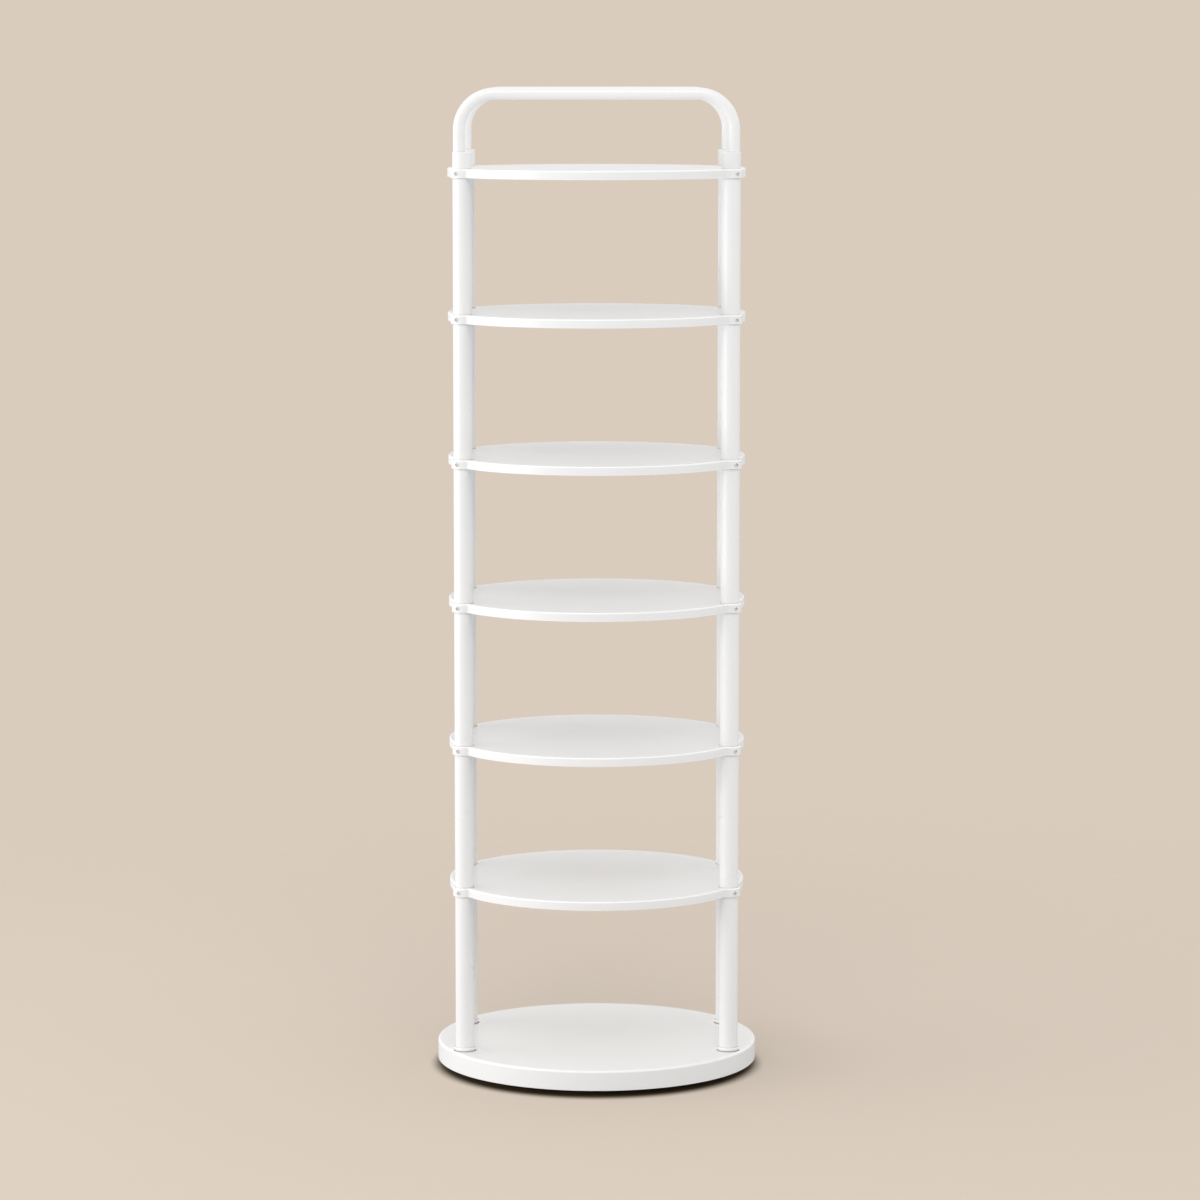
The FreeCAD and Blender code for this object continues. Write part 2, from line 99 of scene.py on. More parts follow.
def corner_turn(corner):
    """Azimuth of a post, counted from +X."""
    return math.atan2(side_y(corner) * math.sin(POST_TURN), side_x(corner) * math.cos(POST_TURN))


def post_axis(corner):
    """X and Y of a post's axis."""
    turn = corner_turn(corner)
    return np.array([POST_RING * math.cos(turn), POST_RING * math.sin(turn)])


def length(name, default, description):
    """Setting for a length in metres."""
    return FloatProperty(
        name=name, description=description, default=default, min=0.0, precision=5,
        subtype="DISTANCE", unit="LENGTH")


def angle(name, default, description):
    """Setting for an angle in radians."""
    return FloatProperty(
        name=name, description=description, default=default, subtype="ANGLE", unit="ROTATION")


def how_many(name, default, description):
    """Setting for how many there are, three or more."""
    return IntProperty(name=name, description=description, default=default, min=3)


def colour(name, default, description):
    """Setting for a colour."""
    return FloatVectorProperty(
        name=name, description=description, default=default, size=3, min=0.0, max=1.0, subtype="COLOR")


def power(name, default, light):
    """Setting for the watts of a light."""
    return FloatProperty(name=name, description="Watts of " + light, default=default, min=0.0, unit="POWER")


class ShelfSizes(PropertyGroup):
    radius: length("Radius", shelf_high[0], "Radius of a shelf disc")
    thickness: length("Thickness", shelf_high[2] - shelf_low[2], "Height of the rim")
    top_round: length("Top rounding", 1.8 * MM, "Radius of the rim's upper edge")
    bottom_round: length("Bottom rounding", 1.0 * MM, "Radius of the rim's lower edge")
    skin: length("Skin", 2.6 * MM, "Thickness of the top over the hollow underside")
    rim_wall: length("Rim wall", 2.6 * MM, "Thickness of the rim")
    ear_radius: length("Ear radius", 15.4 * MM, "Outer radius of the ring round a post")
    hole_radius: length("Hole radius", 12.9 * MM, "Radius of the hole for a post")
    hole_lip: length("Hole lip", 0.3 * MM, "Bevel round the hole above")
    hole_relief: length("Hole relief", 0.8 * MM, "Bevel round the hole below")
    ear_blend: length("Ear blend", 2.0 * MM, "Radius of the hollow corner between ear and rim")
    rib_width: length("Rib width", 2.0 * MM, "Thickness of the ribs below")
    rib_lift: length("Rib lift", 1.2 * MM, "How far the ribs stay above the rim's lower edge")
    inner_ring: length("Inner ring", 60.0 * MM, "Radius of the inner ring rib")
    outer_ring: length("Outer ring", 130.0 * MM, "Radius of the outer ring rib")
    spokes: how_many("Spokes", 12, "Straight ribs below a shelf")


class BaseSizes(PropertyGroup):
    radius: length("Radius", base_high[0], "Radius of the base disc")
    low: length("Lower edge", base_low[2], "Height of the skirt's lower edge over the floor")
    top: length("Top", base_high[2], "Height of the top face over the floor")
    top_round: length("Top rounding", 3.0 * MM, "Radius of the upper edge")
    bottom_round: length("Bottom rounding", 1.0 * MM, "Radius of the lower edge")
    skin: length("Skin", 3.0 * MM, "Thickness of the top")
    rim_wall: length("Rim wall", 3.0 * MM, "Thickness of the skirt")
    rib_width: length("Rib width", 2.5 * MM, "Thickness of the ribs below")
    rib_low: length("Rib lower edge", 18.0 * MM, "Height of the ribs' lower edges")
    socket_radius: length("Foot socket radius", 14.7 * MM, "Radius of the hole round a foot bush")
    socket_lip: length("Foot socket lip", 0.35 * MM, "Bevel round that hole")
    socket_margin: length("Foot socket margin", 6.0 * MM, "Width of the part of the top round that hole")
    bore_radius: length("Foot bore radius", 12.8 * MM, "Radius of the hole round a post's foot")
    bore_low: length("Foot bore floor", 17.0 * MM, "Height of the floor under a post")
    boss_radius: length("Foot boss radius", 17.5 * MM, "Radius of the boss that holds a post")
    boss_low: length("Foot boss lower face", 14.0 * MM, "Height of the boss's lower face")
    race_inner: length("Inner ring", 90.0 * MM, "Inner radius of the inner ring rib")
    race_outer: length("Outer ring", 118.0 * MM, "Outer radius of the outer ring rib")
    race_wall: length("Ring width", 3.0 * MM, "Width of the ring ribs")
    hub_radius: length("Hub radius", 10.0 * MM, "Radius of the hub for the centre pivot")
    hub_low: length("Hub lower face", 12.0 * MM, "Height of the hub's lower face")
    hub_bore: length("Hub bore", 3.05 * MM, "Radius of the hole in the hub")
    hub_bore_top: length("Hub bore top", 28.0 * MM, "Height of the end of the hole in the hub")
    race_circle: length("Race screw circle", 112.0 * MM, "Radius on which the race is screwed up")
    screw_boss: length("Race screw boss", 5.0 * MM, "Radius of the boss for a race screw")
    screw_bore: length("Race screw bore", 2.05 * MM, "Radius of the hole for a race screw")
    screw_bore_top: length("Race screw bore top", 26.0 * MM, "Height of the end of that hole")
    race_screws: how_many("Race screws", 6, "Screws that hold the upper race")
    spokes: how_many("Spokes", 16, "Straight ribs below the base")


class TubeSizes(PropertyGroup):
    radius: length("Radius", (post_high[0] - post_low[0]) / 2, "Outer radius of a post")
    wall: length("Wall", 1.2 * MM, "Wall of a post")
    lip: length("Lip", 0.3 * MM, "Rounding of a cut end")
    bush_radius: length("Bush radius", (bush_high[0] - bush_low[0]) / 2, "Outer radius of a foot bush")
    bush_gap: length("Bush gap", 0.1 * MM, "Space between bush and post")
    bush_round: length("Bush rounding", 1.0 * MM, "Rounding of a bush's upper edge")
    bush_groove: length("Bush groove", 1.0 * MM, "Depth of the groove just over the base")


class BowSizes(PropertyGroup):
    radius: length("Radius", (front_bow_high[1] - front_bow_low[1]) / 2, "Outer radius of a bow's tube")
    wall: length("Wall", 1.5 * MM, "Wall of a bow's tube")
    bend: length("Bend", 48.0 * MM, "Radius of a bend, to the tube's centreline")
    socket_radius: length("Socket radius", (socket_high[0] - socket_low[0]) / 2, "Radius of a socket")
    socket_spigot: length("Spigot length", 30.0 * MM, "Part of a socket inside the post")
    spigot_gap: length("Spigot gap", 0.1 * MM, "Space between that part and the post")
    spigot_core: length("Spigot core", 7.0 * MM, "Inner radius of that part, below the bore")
    web: length("Web", 3.0 * MM, "Thickness of the floor of a socket's bore")
    soft: length("Soft edge", 0.25 * MM, "Rounding of a socket's other edges")
    socket_bore: length("Bore depth", 16.0 * MM, "How deep a bow stands in its socket")
    bow_gap: length("Bow gap", 0.1 * MM, "Space between a bow and its socket")
    edge_round: length("Socket rounding", 0.5 * MM, "Rounding of a socket's upper edge")


class ScrewSizes(PropertyGroup):
    head_radius: length("Head radius", 3.6 * MM, "Radius of a screw head")
    head_height: length("Head height", 2.4 * MM, "Height of a screw head")
    shank_radius: length("Shank radius", 2.0 * MM, "Radius of a shank")
    shank_length: length("Shank length", 3.5 * MM, "Length of a shank")
    seat: length("Seat", 14.9 * MM, "Distance of the head's flat side from the post's axis")
    slot_width: length("Slot width", 0.9 * MM, "Width of one arm of the cross recess")
    slot_length: length("Slot length", 4.2 * MM, "Length of one arm of the cross recess")
    slot_depth: length("Slot depth", 1.3 * MM, "Depth of the cross recess")
    turn: angle("Turn", math.radians(30.0), "Angle from straight ahead towards the outside")


class Finishes(PropertyGroup):
    coat: colour("Tube coat", (0.86, 0.862, 0.86), "Powder coat of posts and bows")
    shell: colour("White plastic", (0.85, 0.85, 0.85), "Moulded shelves, base, sockets and bushes")
    black: colour("Black plastic", (0.016, 0.015, 0.014), "Moulded foot disc")
    rubber: colour("Rubber", (0.035, 0.034, 0.033), "Pads under the foot disc")
    nylon: colour("Nylon", (0.74, 0.72, 0.66), "Ball cage and end plugs")
    zinc: colour("Zinc", (0.62, 0.63, 0.64), "Plated races, bolts, washers and sleeves")
    steel: colour("Polished steel", (0.7, 0.7, 0.71), "Bearing balls")
    screw: colour("Plated screw", (0.8, 0.8, 0.79), "Screws in the ears")


class Studio(PropertyGroup):
    distance: length("Camera distance", 6.04018, "Camera to turning axis, along Y")
    height: length("Camera height", 1.36457, "Height of the camera")
    pitch: angle("Camera pitch", 0.11983, "Downward tilt of the camera")
    yaw: angle("Camera yaw", 0.00076, "Turn of the camera to the right")
    lens: FloatProperty(name="Lens", description="Focal length in millimetres", default=134.59)
    backdrop: colour("Backdrop", (0.701, 0.604, 0.509), "Backdrop, as seen")
    floor: colour("Floor", (0.655, 0.572, 0.487), "Floor, as seen")
    floor_bounce: colour("Floor bounce", (0.6, 0.585, 0.565), "Floor, as it lights the rack")
    # Painted shadow on the floor round the base's rim: its colour, its reach under and beyond the rim, and
    # its shift
    painted_shadow: colour("Painted contact shadow", (0.1, 0.073, 0.042), "Floor where the base nearly touches it, as seen")
    contact_depth: length(
        "Contact depth", 0.014, "How far under the base's rim the floor gets the whole shade")
    contact_reach: length("Contact reach", 0.014, "How far beyond the base's rim the floor is darkened")
    contact_shift: length("Contact shift", 0.008, "How far the shade lies towards the camera")
    floor_radius: length("Floor radius", 4.0, "Radius of the floor")
    fade_from: length("Fade from", 0.35, "Distance from the turning axis at which the floor starts to fade")
    fade_to: length("Fade to", 2.6, "Distance at which only the backdrop is left")
    low_fill: colour("Low fill", (0.742, 0.752, 0.769), "Light from all round, up to 10 degrees up")
    side_fill: colour("Side fill", (1.0, 0.955, 0.9), "Light from all round, from 10 to 40 degrees up")
    high_fill: colour("High fill", (0.93, 0.946, 0.975), "Light from all round, from 40 degrees up")
    left: power("Left light", 21.0, "the large light at the left")
    beside: power("Side light", 38.5, "the large light beside the rack, at the left")
    right: power("Right light", 4.1, "the large light at the right")
    front: power("Front light", 27.6, "the long light high in front")


# Surfaces
def once_round(count):
    """Angles of a number of equal steps once round."""
    return np.arange(count) * ROUND / count


def sheet(points, wrap_rows=False, wrap_columns=False):
    """Faces of a grid of points: each row and column is joined to the next, and the last to the first
    where the grid wraps."""
    rows, columns = points.shape[:2]
    index = np.arange(rows * columns).reshape(rows, columns)
    if wrap_rows:
        index = np.vstack([index, index[:1]])
    if wrap_columns:
        index = np.hstack([index, index[:, :1]])
    faces = np.stack([index[:-1, :-1], index[:-1, 1:], index[1:, 1:], index[1:, :-1]], axis=-1)
    return points.reshape(-1, 3), faces.reshape(-1, 4)


def polar(radius, turn, z=0.0):
    """Point at radius times (cos turn, sin turn), at height z, for whole arrays."""
    radius, turn, z = np.broadcast_arrays(radius, turn, z)
    return np.stack([radius * np.cos(turn), radius * np.sin(turn), z], axis=-1).astype(float)


def lathe(profile, centre, count=96, drift=None):
    """Surface of revolution: at turn t a profile point (r, z) stands at the axis plus r times (cos t, sin
    t), at height z. Drift moves the axis of each profile point along X."""
    points = polar(profile[:, :1], once_round(count)[None], profile[:, 1:2])
    points[..., 0] += centre[0] + (0.0 if drift is None else drift[:, None])
    points[..., 1] += centre[1]
    return points


def rounded(corners, closed=True, steps=5, ease=0.4 * MM):
    """Profile through corners (r, z, rounding): each corner is an arc that touches both its sides, with a
    point a little way along each side that has room for one."""
    table = np.array(corners, float)
    count = len(table)
    line = []
    for index in range(count):
        here = table[index, :2]
        radius = table[index, 2]
        if radius <= 0 or (not closed and index in (0, count - 1)):
            line.append(here[None])
            continue
        back = table[index - 1, :2] - here
        ahead = table[(index + 1) % count, :2] - here
        back_room, ahead_room = np.linalg.norm(back) / 2, np.linalg.norm(ahead) / 2
        back, ahead = back / np.linalg.norm(back), ahead / np.linalg.norm(ahead)
        half = np.arccos(np.clip(back @ ahead, -1, 1)) / 2
        reach = radius / np.tan(half)
        middle = here + (back + ahead) / np.linalg.norm(back + ahead) * radius / np.sin(half)
        first, last = here + back * reach - middle, here + ahead * reach - middle
        span = np.pi - 2 * half
        s = np.linspace(0, 1, steps + 1)[:, None]
        arc = middle + (np.sin((1 - s) * span) * first + np.sin(s * span) * last) / np.sin(span)
        far = reach + ease
        before = [(here + back * far)[None]] if far < back_room else []
        after = [(here + ahead * far)[None]] if far < ahead_room else []
        line += [*before, arc, *after]
    return np.concatenate(line)


def edge_share(mesh):
    """For each point the largest outward bend between the faces round it, from 0 where edges start to 1
    where they count fully."""
    loops, count = len(mesh.loops), len(mesh.polygons)
    edge_of, verts_of = np.empty(loops, int), np.empty(len(mesh.edges) * 2, int)
    mesh.loops.foreach_get("edge_index", edge_of)
    mesh.edges.foreach_get("vertices", verts_of)
    sides, normals, centres = np.empty(count, int), np.empty(count * 3), np.empty(count * 3)
    mesh.polygons.foreach_get("loop_total", sides)
    mesh.polygons.foreach_get("normal", normals)
    mesh.polygons.foreach_get("center", centres)
    normals, centres = normals.reshape(-1, 3), centres.reshape(-1, 3)
    face_of = np.repeat(np.arange(count), sides)[np.argsort(edge_of, kind="stable")]
    first, second = face_of[0::2], face_of[1::2]
    bend = np.arccos(np.clip(np.sum(normals[first] * normals[second], axis=1), -1.0, 1.0))
    outward = np.sum((centres[second] - centres[first]) * normals[first], axis=1) < 0
    amount = np.clip((np.degrees(bend) - EDGE_STARTS) / (EDGE_FULL - EDGE_STARTS), 0.0, 1.0) * outward
    result = np.zeros(len(mesh.vertices))
    for end in (0, 1):
        np.maximum.at(result, verts_of[end::2], amount)
    return result


def piece(name, patches, nodes, material, crease=32.0):
    """One mesh from its patches, which rides on the rack in place of some nodes: points that meet are
    merged, faces shrunk to a line dropped, and the rest turned outwards."""
    points, faces, start = [], [], 0
    for patch_points, patch_faces in patches:
        points.append(patch_points)
        faces.append(patch_faces + start)
        start += len(patch_points)
    mesh = bpy.data.meshes.new(name)
    mesh.from_pydata(np.concatenate(points).tolist(), [], np.concatenate(faces).tolist())
    work = bmesh.new()
    work.from_mesh(mesh)
    bmesh.ops.remove_doubles(work, verts=work.verts, dist=MERGE)
    bmesh.ops.dissolve_degenerate(work, edges=work.edges, dist=MERGE / 2)
    bmesh.ops.delete(work, geom=[edge for edge in work.edges if not edge.link_faces], context="EDGES")
    bmesh.ops.recalc_face_normals(work, faces=work.faces)
    work.to_mesh(mesh)
    work.free()
    mesh.shade_smooth()
    mesh.set_sharp_from_angle(angle=math.radians(crease))
    mesh.attributes.new("edge", "FLOAT", "POINT").data.foreach_set("value", edge_share(mesh))
    mesh.materials.append(material)
    made = bpy.data.objects.new(name, mesh)
    bpy.context.scene.collection.objects.link(made)
    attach(made, "rack")
    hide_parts(*nodes)
    return made


# Discs with a hole near the rim for each post
def nearest_of(turns, others):
    """Angle of each turn from the nearest of the others, and which one that is."""
    off = (turns[:, None] - others[None] + np.pi) % ROUND - np.pi
    nearest = np.abs(off).argmin(axis=1)
    return off[np.arange(len(turns)), nearest], nearest


def from_post(turns):
    """Angle of each turn from the nearest post, and which post that is."""
    return nearest_of(turns, np.array([corner_turn(corner) for corner in CORNERS]))


def ear_limits(ring, reach, span):
    """Half angle, seen from the disc's centre, at which a circle of radius span about a post's axis meets
    the circle of radius reach."""
    return math.acos((ring ** 2 + reach ** 2 - span ** 2) / (2 * ring * reach))


def near_side(ring, span, turn, side=-1.0):
    """Distance from the disc's centre to the near side (or the far side, with side 1) of a circle of
    radius span about a post's axis, along a ray at angle turn from that axis."""
    return ring * np.cos(turn) + side * np.sqrt(np.maximum(span ** 2 - (ring * np.sin(turn)) ** 2, 0.0))


class Disc:
    """The rays that a disc's faces are laid out on: fine near the posts and beside each spoke. Limit is
    the half angle of a post's part of the disc, pocket the radius of the hollow, boss the radius of the
    boss round a post and width that of a spoke. The first spoke lies the share offset of their spacing
    past +X."""

    # Angle between rays where nothing asks for more, and rays across one post's part
    STEP, ACROSS = math.radians(1.25), 25
    # How near a free ray may come to a spoke's middle, and to a ray that has to be there
    OFF_SPOKE, OFF_FIXED = math.radians(0.45), math.radians(0.03)
    # Half angle of the window about a spoke in which rays are moved, and the share of it a spoke may fill
    WINDOW, FILL = math.radians(2.2), 0.9
    # Radius inside which the window widens, and the length over which it comes to meet its neighbours
    WIDENS_AT, WIDENS_OVER = 0.17, 0.05
    LEAST_RADIUS = 1e-6

    def __init__(self, limit, pocket, boss, width, spokes, offset):
        self.limit, self.pocket, self.boss, self.half = limit, pocket, boss, width / 2
        self.crossing = ear_limits(POST_RING, pocket, boss)
        self.knee = min(pocket, math.sqrt(POST_RING ** 2 - boss ** 2))
        self.boss_limit = math.asin(boss / POST_RING) if self.knee < pocket else self.crossing
        self.spoke_turns = (np.arange(spokes) + offset) * ROUND / spokes
        fixed, loose = self.post_rays()
        off_spoke, _ = nearest_of(loose, self.spoke_turns)
        off_fixed, _ = nearest_of(loose, fixed)
        loose = loose[(np.abs(off_spoke) > self.OFF_SPOKE) & (np.abs(off_fixed) > self.OFF_FIXED)]
        turns = np.concatenate([loose, fixed, self.beside_spokes(-1.0), self.beside_spokes(1.0)]) % ROUND
        kind = np.repeat([0.0, -1.0, 1.0], [len(loose) + len(fixed), spokes, spokes])
        order = np.argsort(turns)
        self.turns, self.kind = turns[order], kind[order]
        self.off, self.post = from_post(self.turns)

    def post_rays(self):
        """Rays that have to be there, at the limits of the posts' parts, and free ones across and between
        the posts."""
        posts = sorted(corner_turn(corner) % ROUND for corner in CORNERS)
        across = self.limit * np.sin(np.linspace(-np.pi / 2, np.pi / 2, self.ACROSS)[1:-1])
        fixed, loose = [], []
        for post, following in zip(posts, [*posts[1:], posts[0] + ROUND]):
            for half in sorted({self.limit, self.crossing, self.boss_limit}):
                fixed += [post - half, post + half]
            count = int((following - post - 2 * self.limit) / self.STEP) + 1
            loose += [post + across, np.linspace(post + self.limit, following - self.limit, count)[1:-1]]
        return np.array(fixed), np.concatenate(loose)

    def beside_spokes(self, sign):
        """Rays that meet the hollow's edge where each spoke's side does: half its width beside its
        middle. The edge depends on the ray, so the angle is worked out again a few times."""
        turns = self.spoke_turns
        for _ in range(6):
            turns = self.spoke_turns + sign * np.arcsin(self.half / self.edge(turns))
        return turns

    def edge(self, turns):
        """Radius of the hollow's outer edge: the pocket's circle, or the near side of a boss."""
        off, _ = from_post(turns)
        bossed = np.abs(off) <= self.boss_limit + SAME
        return np.where(bossed, np.minimum(near_side(POST_RING, self.boss, off), self.pocket), self.pocket)

    def inside(self, corner, limit=None):
        """Which rays lie within an angle of one post, in order of their angle from it."""
        limit = self.limit if limit is None else limit
        chosen = np.flatnonzero((self.post == CORNERS.index(corner)) & (np.abs(self.off) <= limit + SAME))
        return chosen[np.argsort(self.off[chosen])]

    def between(self, limit):
        """Runs of rays that lie outside an angle of every post, both ends included."""
        outside = np.abs(self.off) >= limit - SAME
        count = len(outside)
        runs = []
        for start in (index for index in range(count) if outside[index] and not outside[index - 1]):
            stop = start
            while outside[(stop + 1) % count]:
                stop += 1
            runs.append(np.arange(start, stop + 1) % count)
        return runs

    def bent(self, turns, radius):
        """Turns at a radius: within a window about each spoke they are moved so that the spoke keeps its
        width."""
        spacing = np.pi / len(self.spoke_turns)
        widening = np.clip((self.WIDENS_AT - radius) / self.WIDENS_OVER, 0.0, 1.0)
        window = np.maximum(self.WINDOW, spacing * widening)
        off, nearest = nearest_of(turns, self.spoke_turns)
        outer = np.arcsin(self.half / self.edge(turns))
        sine = self.half / np.maximum(radius, self.LEAST_RADIUS)
        inner = np.arcsin(np.minimum(sine, np.sin(window * self.FILL)))
        moved = inner + (np.abs(off) - outer) * (window - inner) / (window - outer)
        moved = np.where(np.abs(off) < outer - SAME, np.abs(off) * inner / outer, moved)
        return np.where(np.abs(off) < window, self.spoke_turns[nearest] + np.sign(off) * moved, turns)


# Rows of a flat top as shares of the way out, closer together towards the rim
INWARDS = np.array([1.0, 0.996, 0.985, 0.96, 0.9, 0.8, 0.65, 0.5, 0.35, 0.2, 0.08, 0.0])
# Rows of an underside from the last ring rib to the posts' part, and on to the wall, as shares of the way
TO_POSTS, TO_WALL = (0.3, 0.65, 1.0), (0.5, 1.0)
# Rows of the base's underside between hub and ring rib, as multiples of the hub's radius
ROUND_HUB = np.array([0.9, 1.3, 2.0, 3.2, 5.0, 7.0])


def disc_top(disc, reach, near, z):
    """Flat top out to radius reach, or to the near side of a circle round each post: rays from the
    centre, in rows that thin out inwards."""
    inside = np.abs(disc.off) < disc.limit - SAME
    edge = np.where(inside, near_side(POST_RING, near, disc.off), reach)
    return sheet(polar(edge[None] * INWARDS[:, None], disc.turns[None], z), wrap_columns=True), edge


def hollow(disc, rows, high, low, levels):
    """Underside of a disc: the ceiling at height high with ribs down to height low, and the wall round it
    through the given levels. Rows are (radius or share of the way out, is a ring rib, spokes are there,
    which kind of row); a doubled row or ray gives a rib its upright side."""
    last_fixed = max(row[0] for row in rows if row[3] == "radius")
    sectors = [(run, False) for run in disc.between(disc.boss_limit)]
    sectors += [(disc.inside(corner, disc.boss_limit), True) for corner in CORNERS]
    patches = []
    for rays, bossed in sectors:
        double = np.repeat(rays, np.where(disc.kind[rays] == 0, 1, 2))
        second = np.concatenate([[False], double[1:] == double[:-1]])
        kind = disc.kind[double]
        low_ray = ((kind < 0) & second) | ((kind > 0) & ~second)
        turns = disc.turns[double]
        knee = np.minimum(disc.edge(turns), disc.knee) if bossed else np.full(len(turns), disc.knee)
        grid = []
        for amount, ring_rib, spoked, way in rows:
            if way == "radius":
                radius = np.full(len(turns), amount)
            elif way == "knee":
                radius = last_fixed + (knee - last_fixed) * amount
            elif bossed or disc.knee == disc.pocket:
                continue
            else:
                radius = knee + (disc.pocket - knee) * amount
            z = np.where(low_ray & spoked | ring_rib, low, high)
            grid.append(polar(radius, disc.bent(turns, radius), z))
        patches.append(sheet(np.stack(grid)))
        foot = grid[-1] * np.array([1.0, 1.0, 0.0])
        patches.append(sheet(np.stack([foot + level * UP for level in levels] + [grid[-1]])))
    return patches


def ring_rows(rings, knee_steps, outer_steps=(), inner=()):
    """Rows of an underside: inner spokes, then four rows for each ring rib (inner and outer radius,
    spokes before it, spokes after it), then rows out to the wall."""
    rows = [(0.0, False, False, "radius")]
    if len(inner):
        rows.append((inner[0], False, False, "radius"))
        rows += [(radius, False, True, "radius") for radius in inner]
    for low, high, before, after in rings:
        rows += [(low, False, before, "radius"), (low, True, True, "radius")]
        rows += [(high, True, True, "radius"), (high, False, after, "radius")]
    rows += [(amount, False, True, "knee") for amount in knee_steps]
    rows += [(amount, False, True, "pocket") for amount in outer_steps]
    return rows


def hollow_corner(sizes):
    """Centre of the hollow corner between ear and rim: its distance from the disc's centre, and its half
    angle."""
    reach = sizes.radius + sizes.ear_blend
    return reach, ear_limits(POST_RING, reach, sizes.ear_radius + sizes.ear_blend)


def shelf_outline(sizes, inset, corner, ear_steps=40, blend_steps=6):
    """One ear's part of the shelf's outline, moved inwards by inset: a hollow blend arc, the ear's arc
    and the other blend arc."""
    reach, limit = hollow_corner(sizes)
    hollow_x, hollow_y = reach * math.cos(limit), reach * math.sin(limit)
    lean = math.atan2(hollow_y, hollow_x - POST_RING)
    bend = np.linspace(lean + np.pi, limit + np.pi, blend_steps + 1)
    radius = sizes.ear_blend + inset
    blend_arc = np.stack([hollow_x + radius * np.cos(bend), hollow_y + radius * np.sin(bend)], axis=-1)
    turn = np.linspace(-lean, lean, ear_steps + 1)[1:-1]
    radius = sizes.ear_radius - inset
    ear = np.stack([POST_RING + radius * np.cos(turn), radius * np.sin(turn)], axis=-1)
    mirrored = blend_arc[::-1] * np.array([1.0, -1.0])
    local = np.concatenate([mirrored, ear, blend_arc])
    at = corner_turn(corner)
    cos, sin = math.cos(at), math.sin(at)
    return local @ np.array([[cos, sin], [-sin, cos]])


def rim_rays(disc, inset, radius, corner_line):
    """Closed outline of a disc: its rim rays, with each post's own line in place of the rays inside its
    limits."""
    points = []
    for run in disc.between(disc.limit):
        points.append(corner_line(CORNERS[disc.post[run[0]]], inset))
        points.append(polar(radius - inset, disc.turns[run[1:-1]])[:, :2])
    return np.concatenate(points)


def with_z(flat, z):
    """Flat points with a height added to each."""
    return np.concatenate([flat, np.broadcast_to(z, flat.shape[:-1])[..., None]], axis=-1)


def edge_profile(thickness, top_round, bottom_round, steps, ease=0.4 * MM):
    """Insets and heights down a rim: a quarter round, a straight side and a quarter round."""
    upper = np.linspace(0, np.pi / 2, steps + 1)
    lower = np.linspace(0, np.pi / 2, steps - 1)
    insets = np.concatenate([top_round * (1 - np.sin(upper)), [0.0, 0.0], bottom_round * (1 - np.cos(lower))])
    heights = np.concatenate([
        -top_round * (1 - np.cos(upper)), [-top_round - ease, -thickness + bottom_round + ease],
        -thickness + bottom_round * (1 - np.sin(lower))])
    return insets, heights


def rim(sizes, disc, thickness, top, line, steps=7):
    """The upright edge of a disc, from its top face down to its lower one: its outline at each inset and
    height of the edge's profile."""
    insets, heights = edge_profile(thickness, sizes.top_round, sizes.bottom_round, steps)
    rows = [with_z(rim_rays(disc, inset, sizes.radius, line), top + z) for inset, z in zip(insets, heights)]
    return sheet(np.stack(rows), wrap_columns=True)


def hole_grid(corner, outer_top, rings, outer_low=None):
    """Walls of the hole round a post: an outer line on the top, circles of given radius and height about
    the post's axis, and an outer line below. Each circle's points lie in the directions of the outer
    lines' points, and turn from the upper line's to the lower line's; with no lower line the hole has a
    floor."""
    centre = post_axis(corner)
    first = np.unwrap(np.arctan2(outer_top[:, 1] - centre[1], outer_top[:, 0] - centre[0]))
    last = first
    if outer_low is not None:
        last = np.unwrap(np.arctan2(outer_low[:, 1] - centre[1], outer_low[:, 0] - centre[0]))
        last = last + ROUND * np.round((first.mean() - last.mean()) / ROUND)
    rows = [outer_top]
    for number, (radius, z) in enumerate(rings):
        part = number / max(len(rings) - 1, 1)
        circle = polar(radius, first * (1 - part) + last * part, z)
        circle[:, :2] += centre
        rows.append(circle)
    floor = np.tile(np.append(centre, rings[-1][1]), (len(outer_top), 1))
    rows.append(floor if outer_low is None else outer_low)
    return sheet(np.stack(rows), wrap_columns=True)


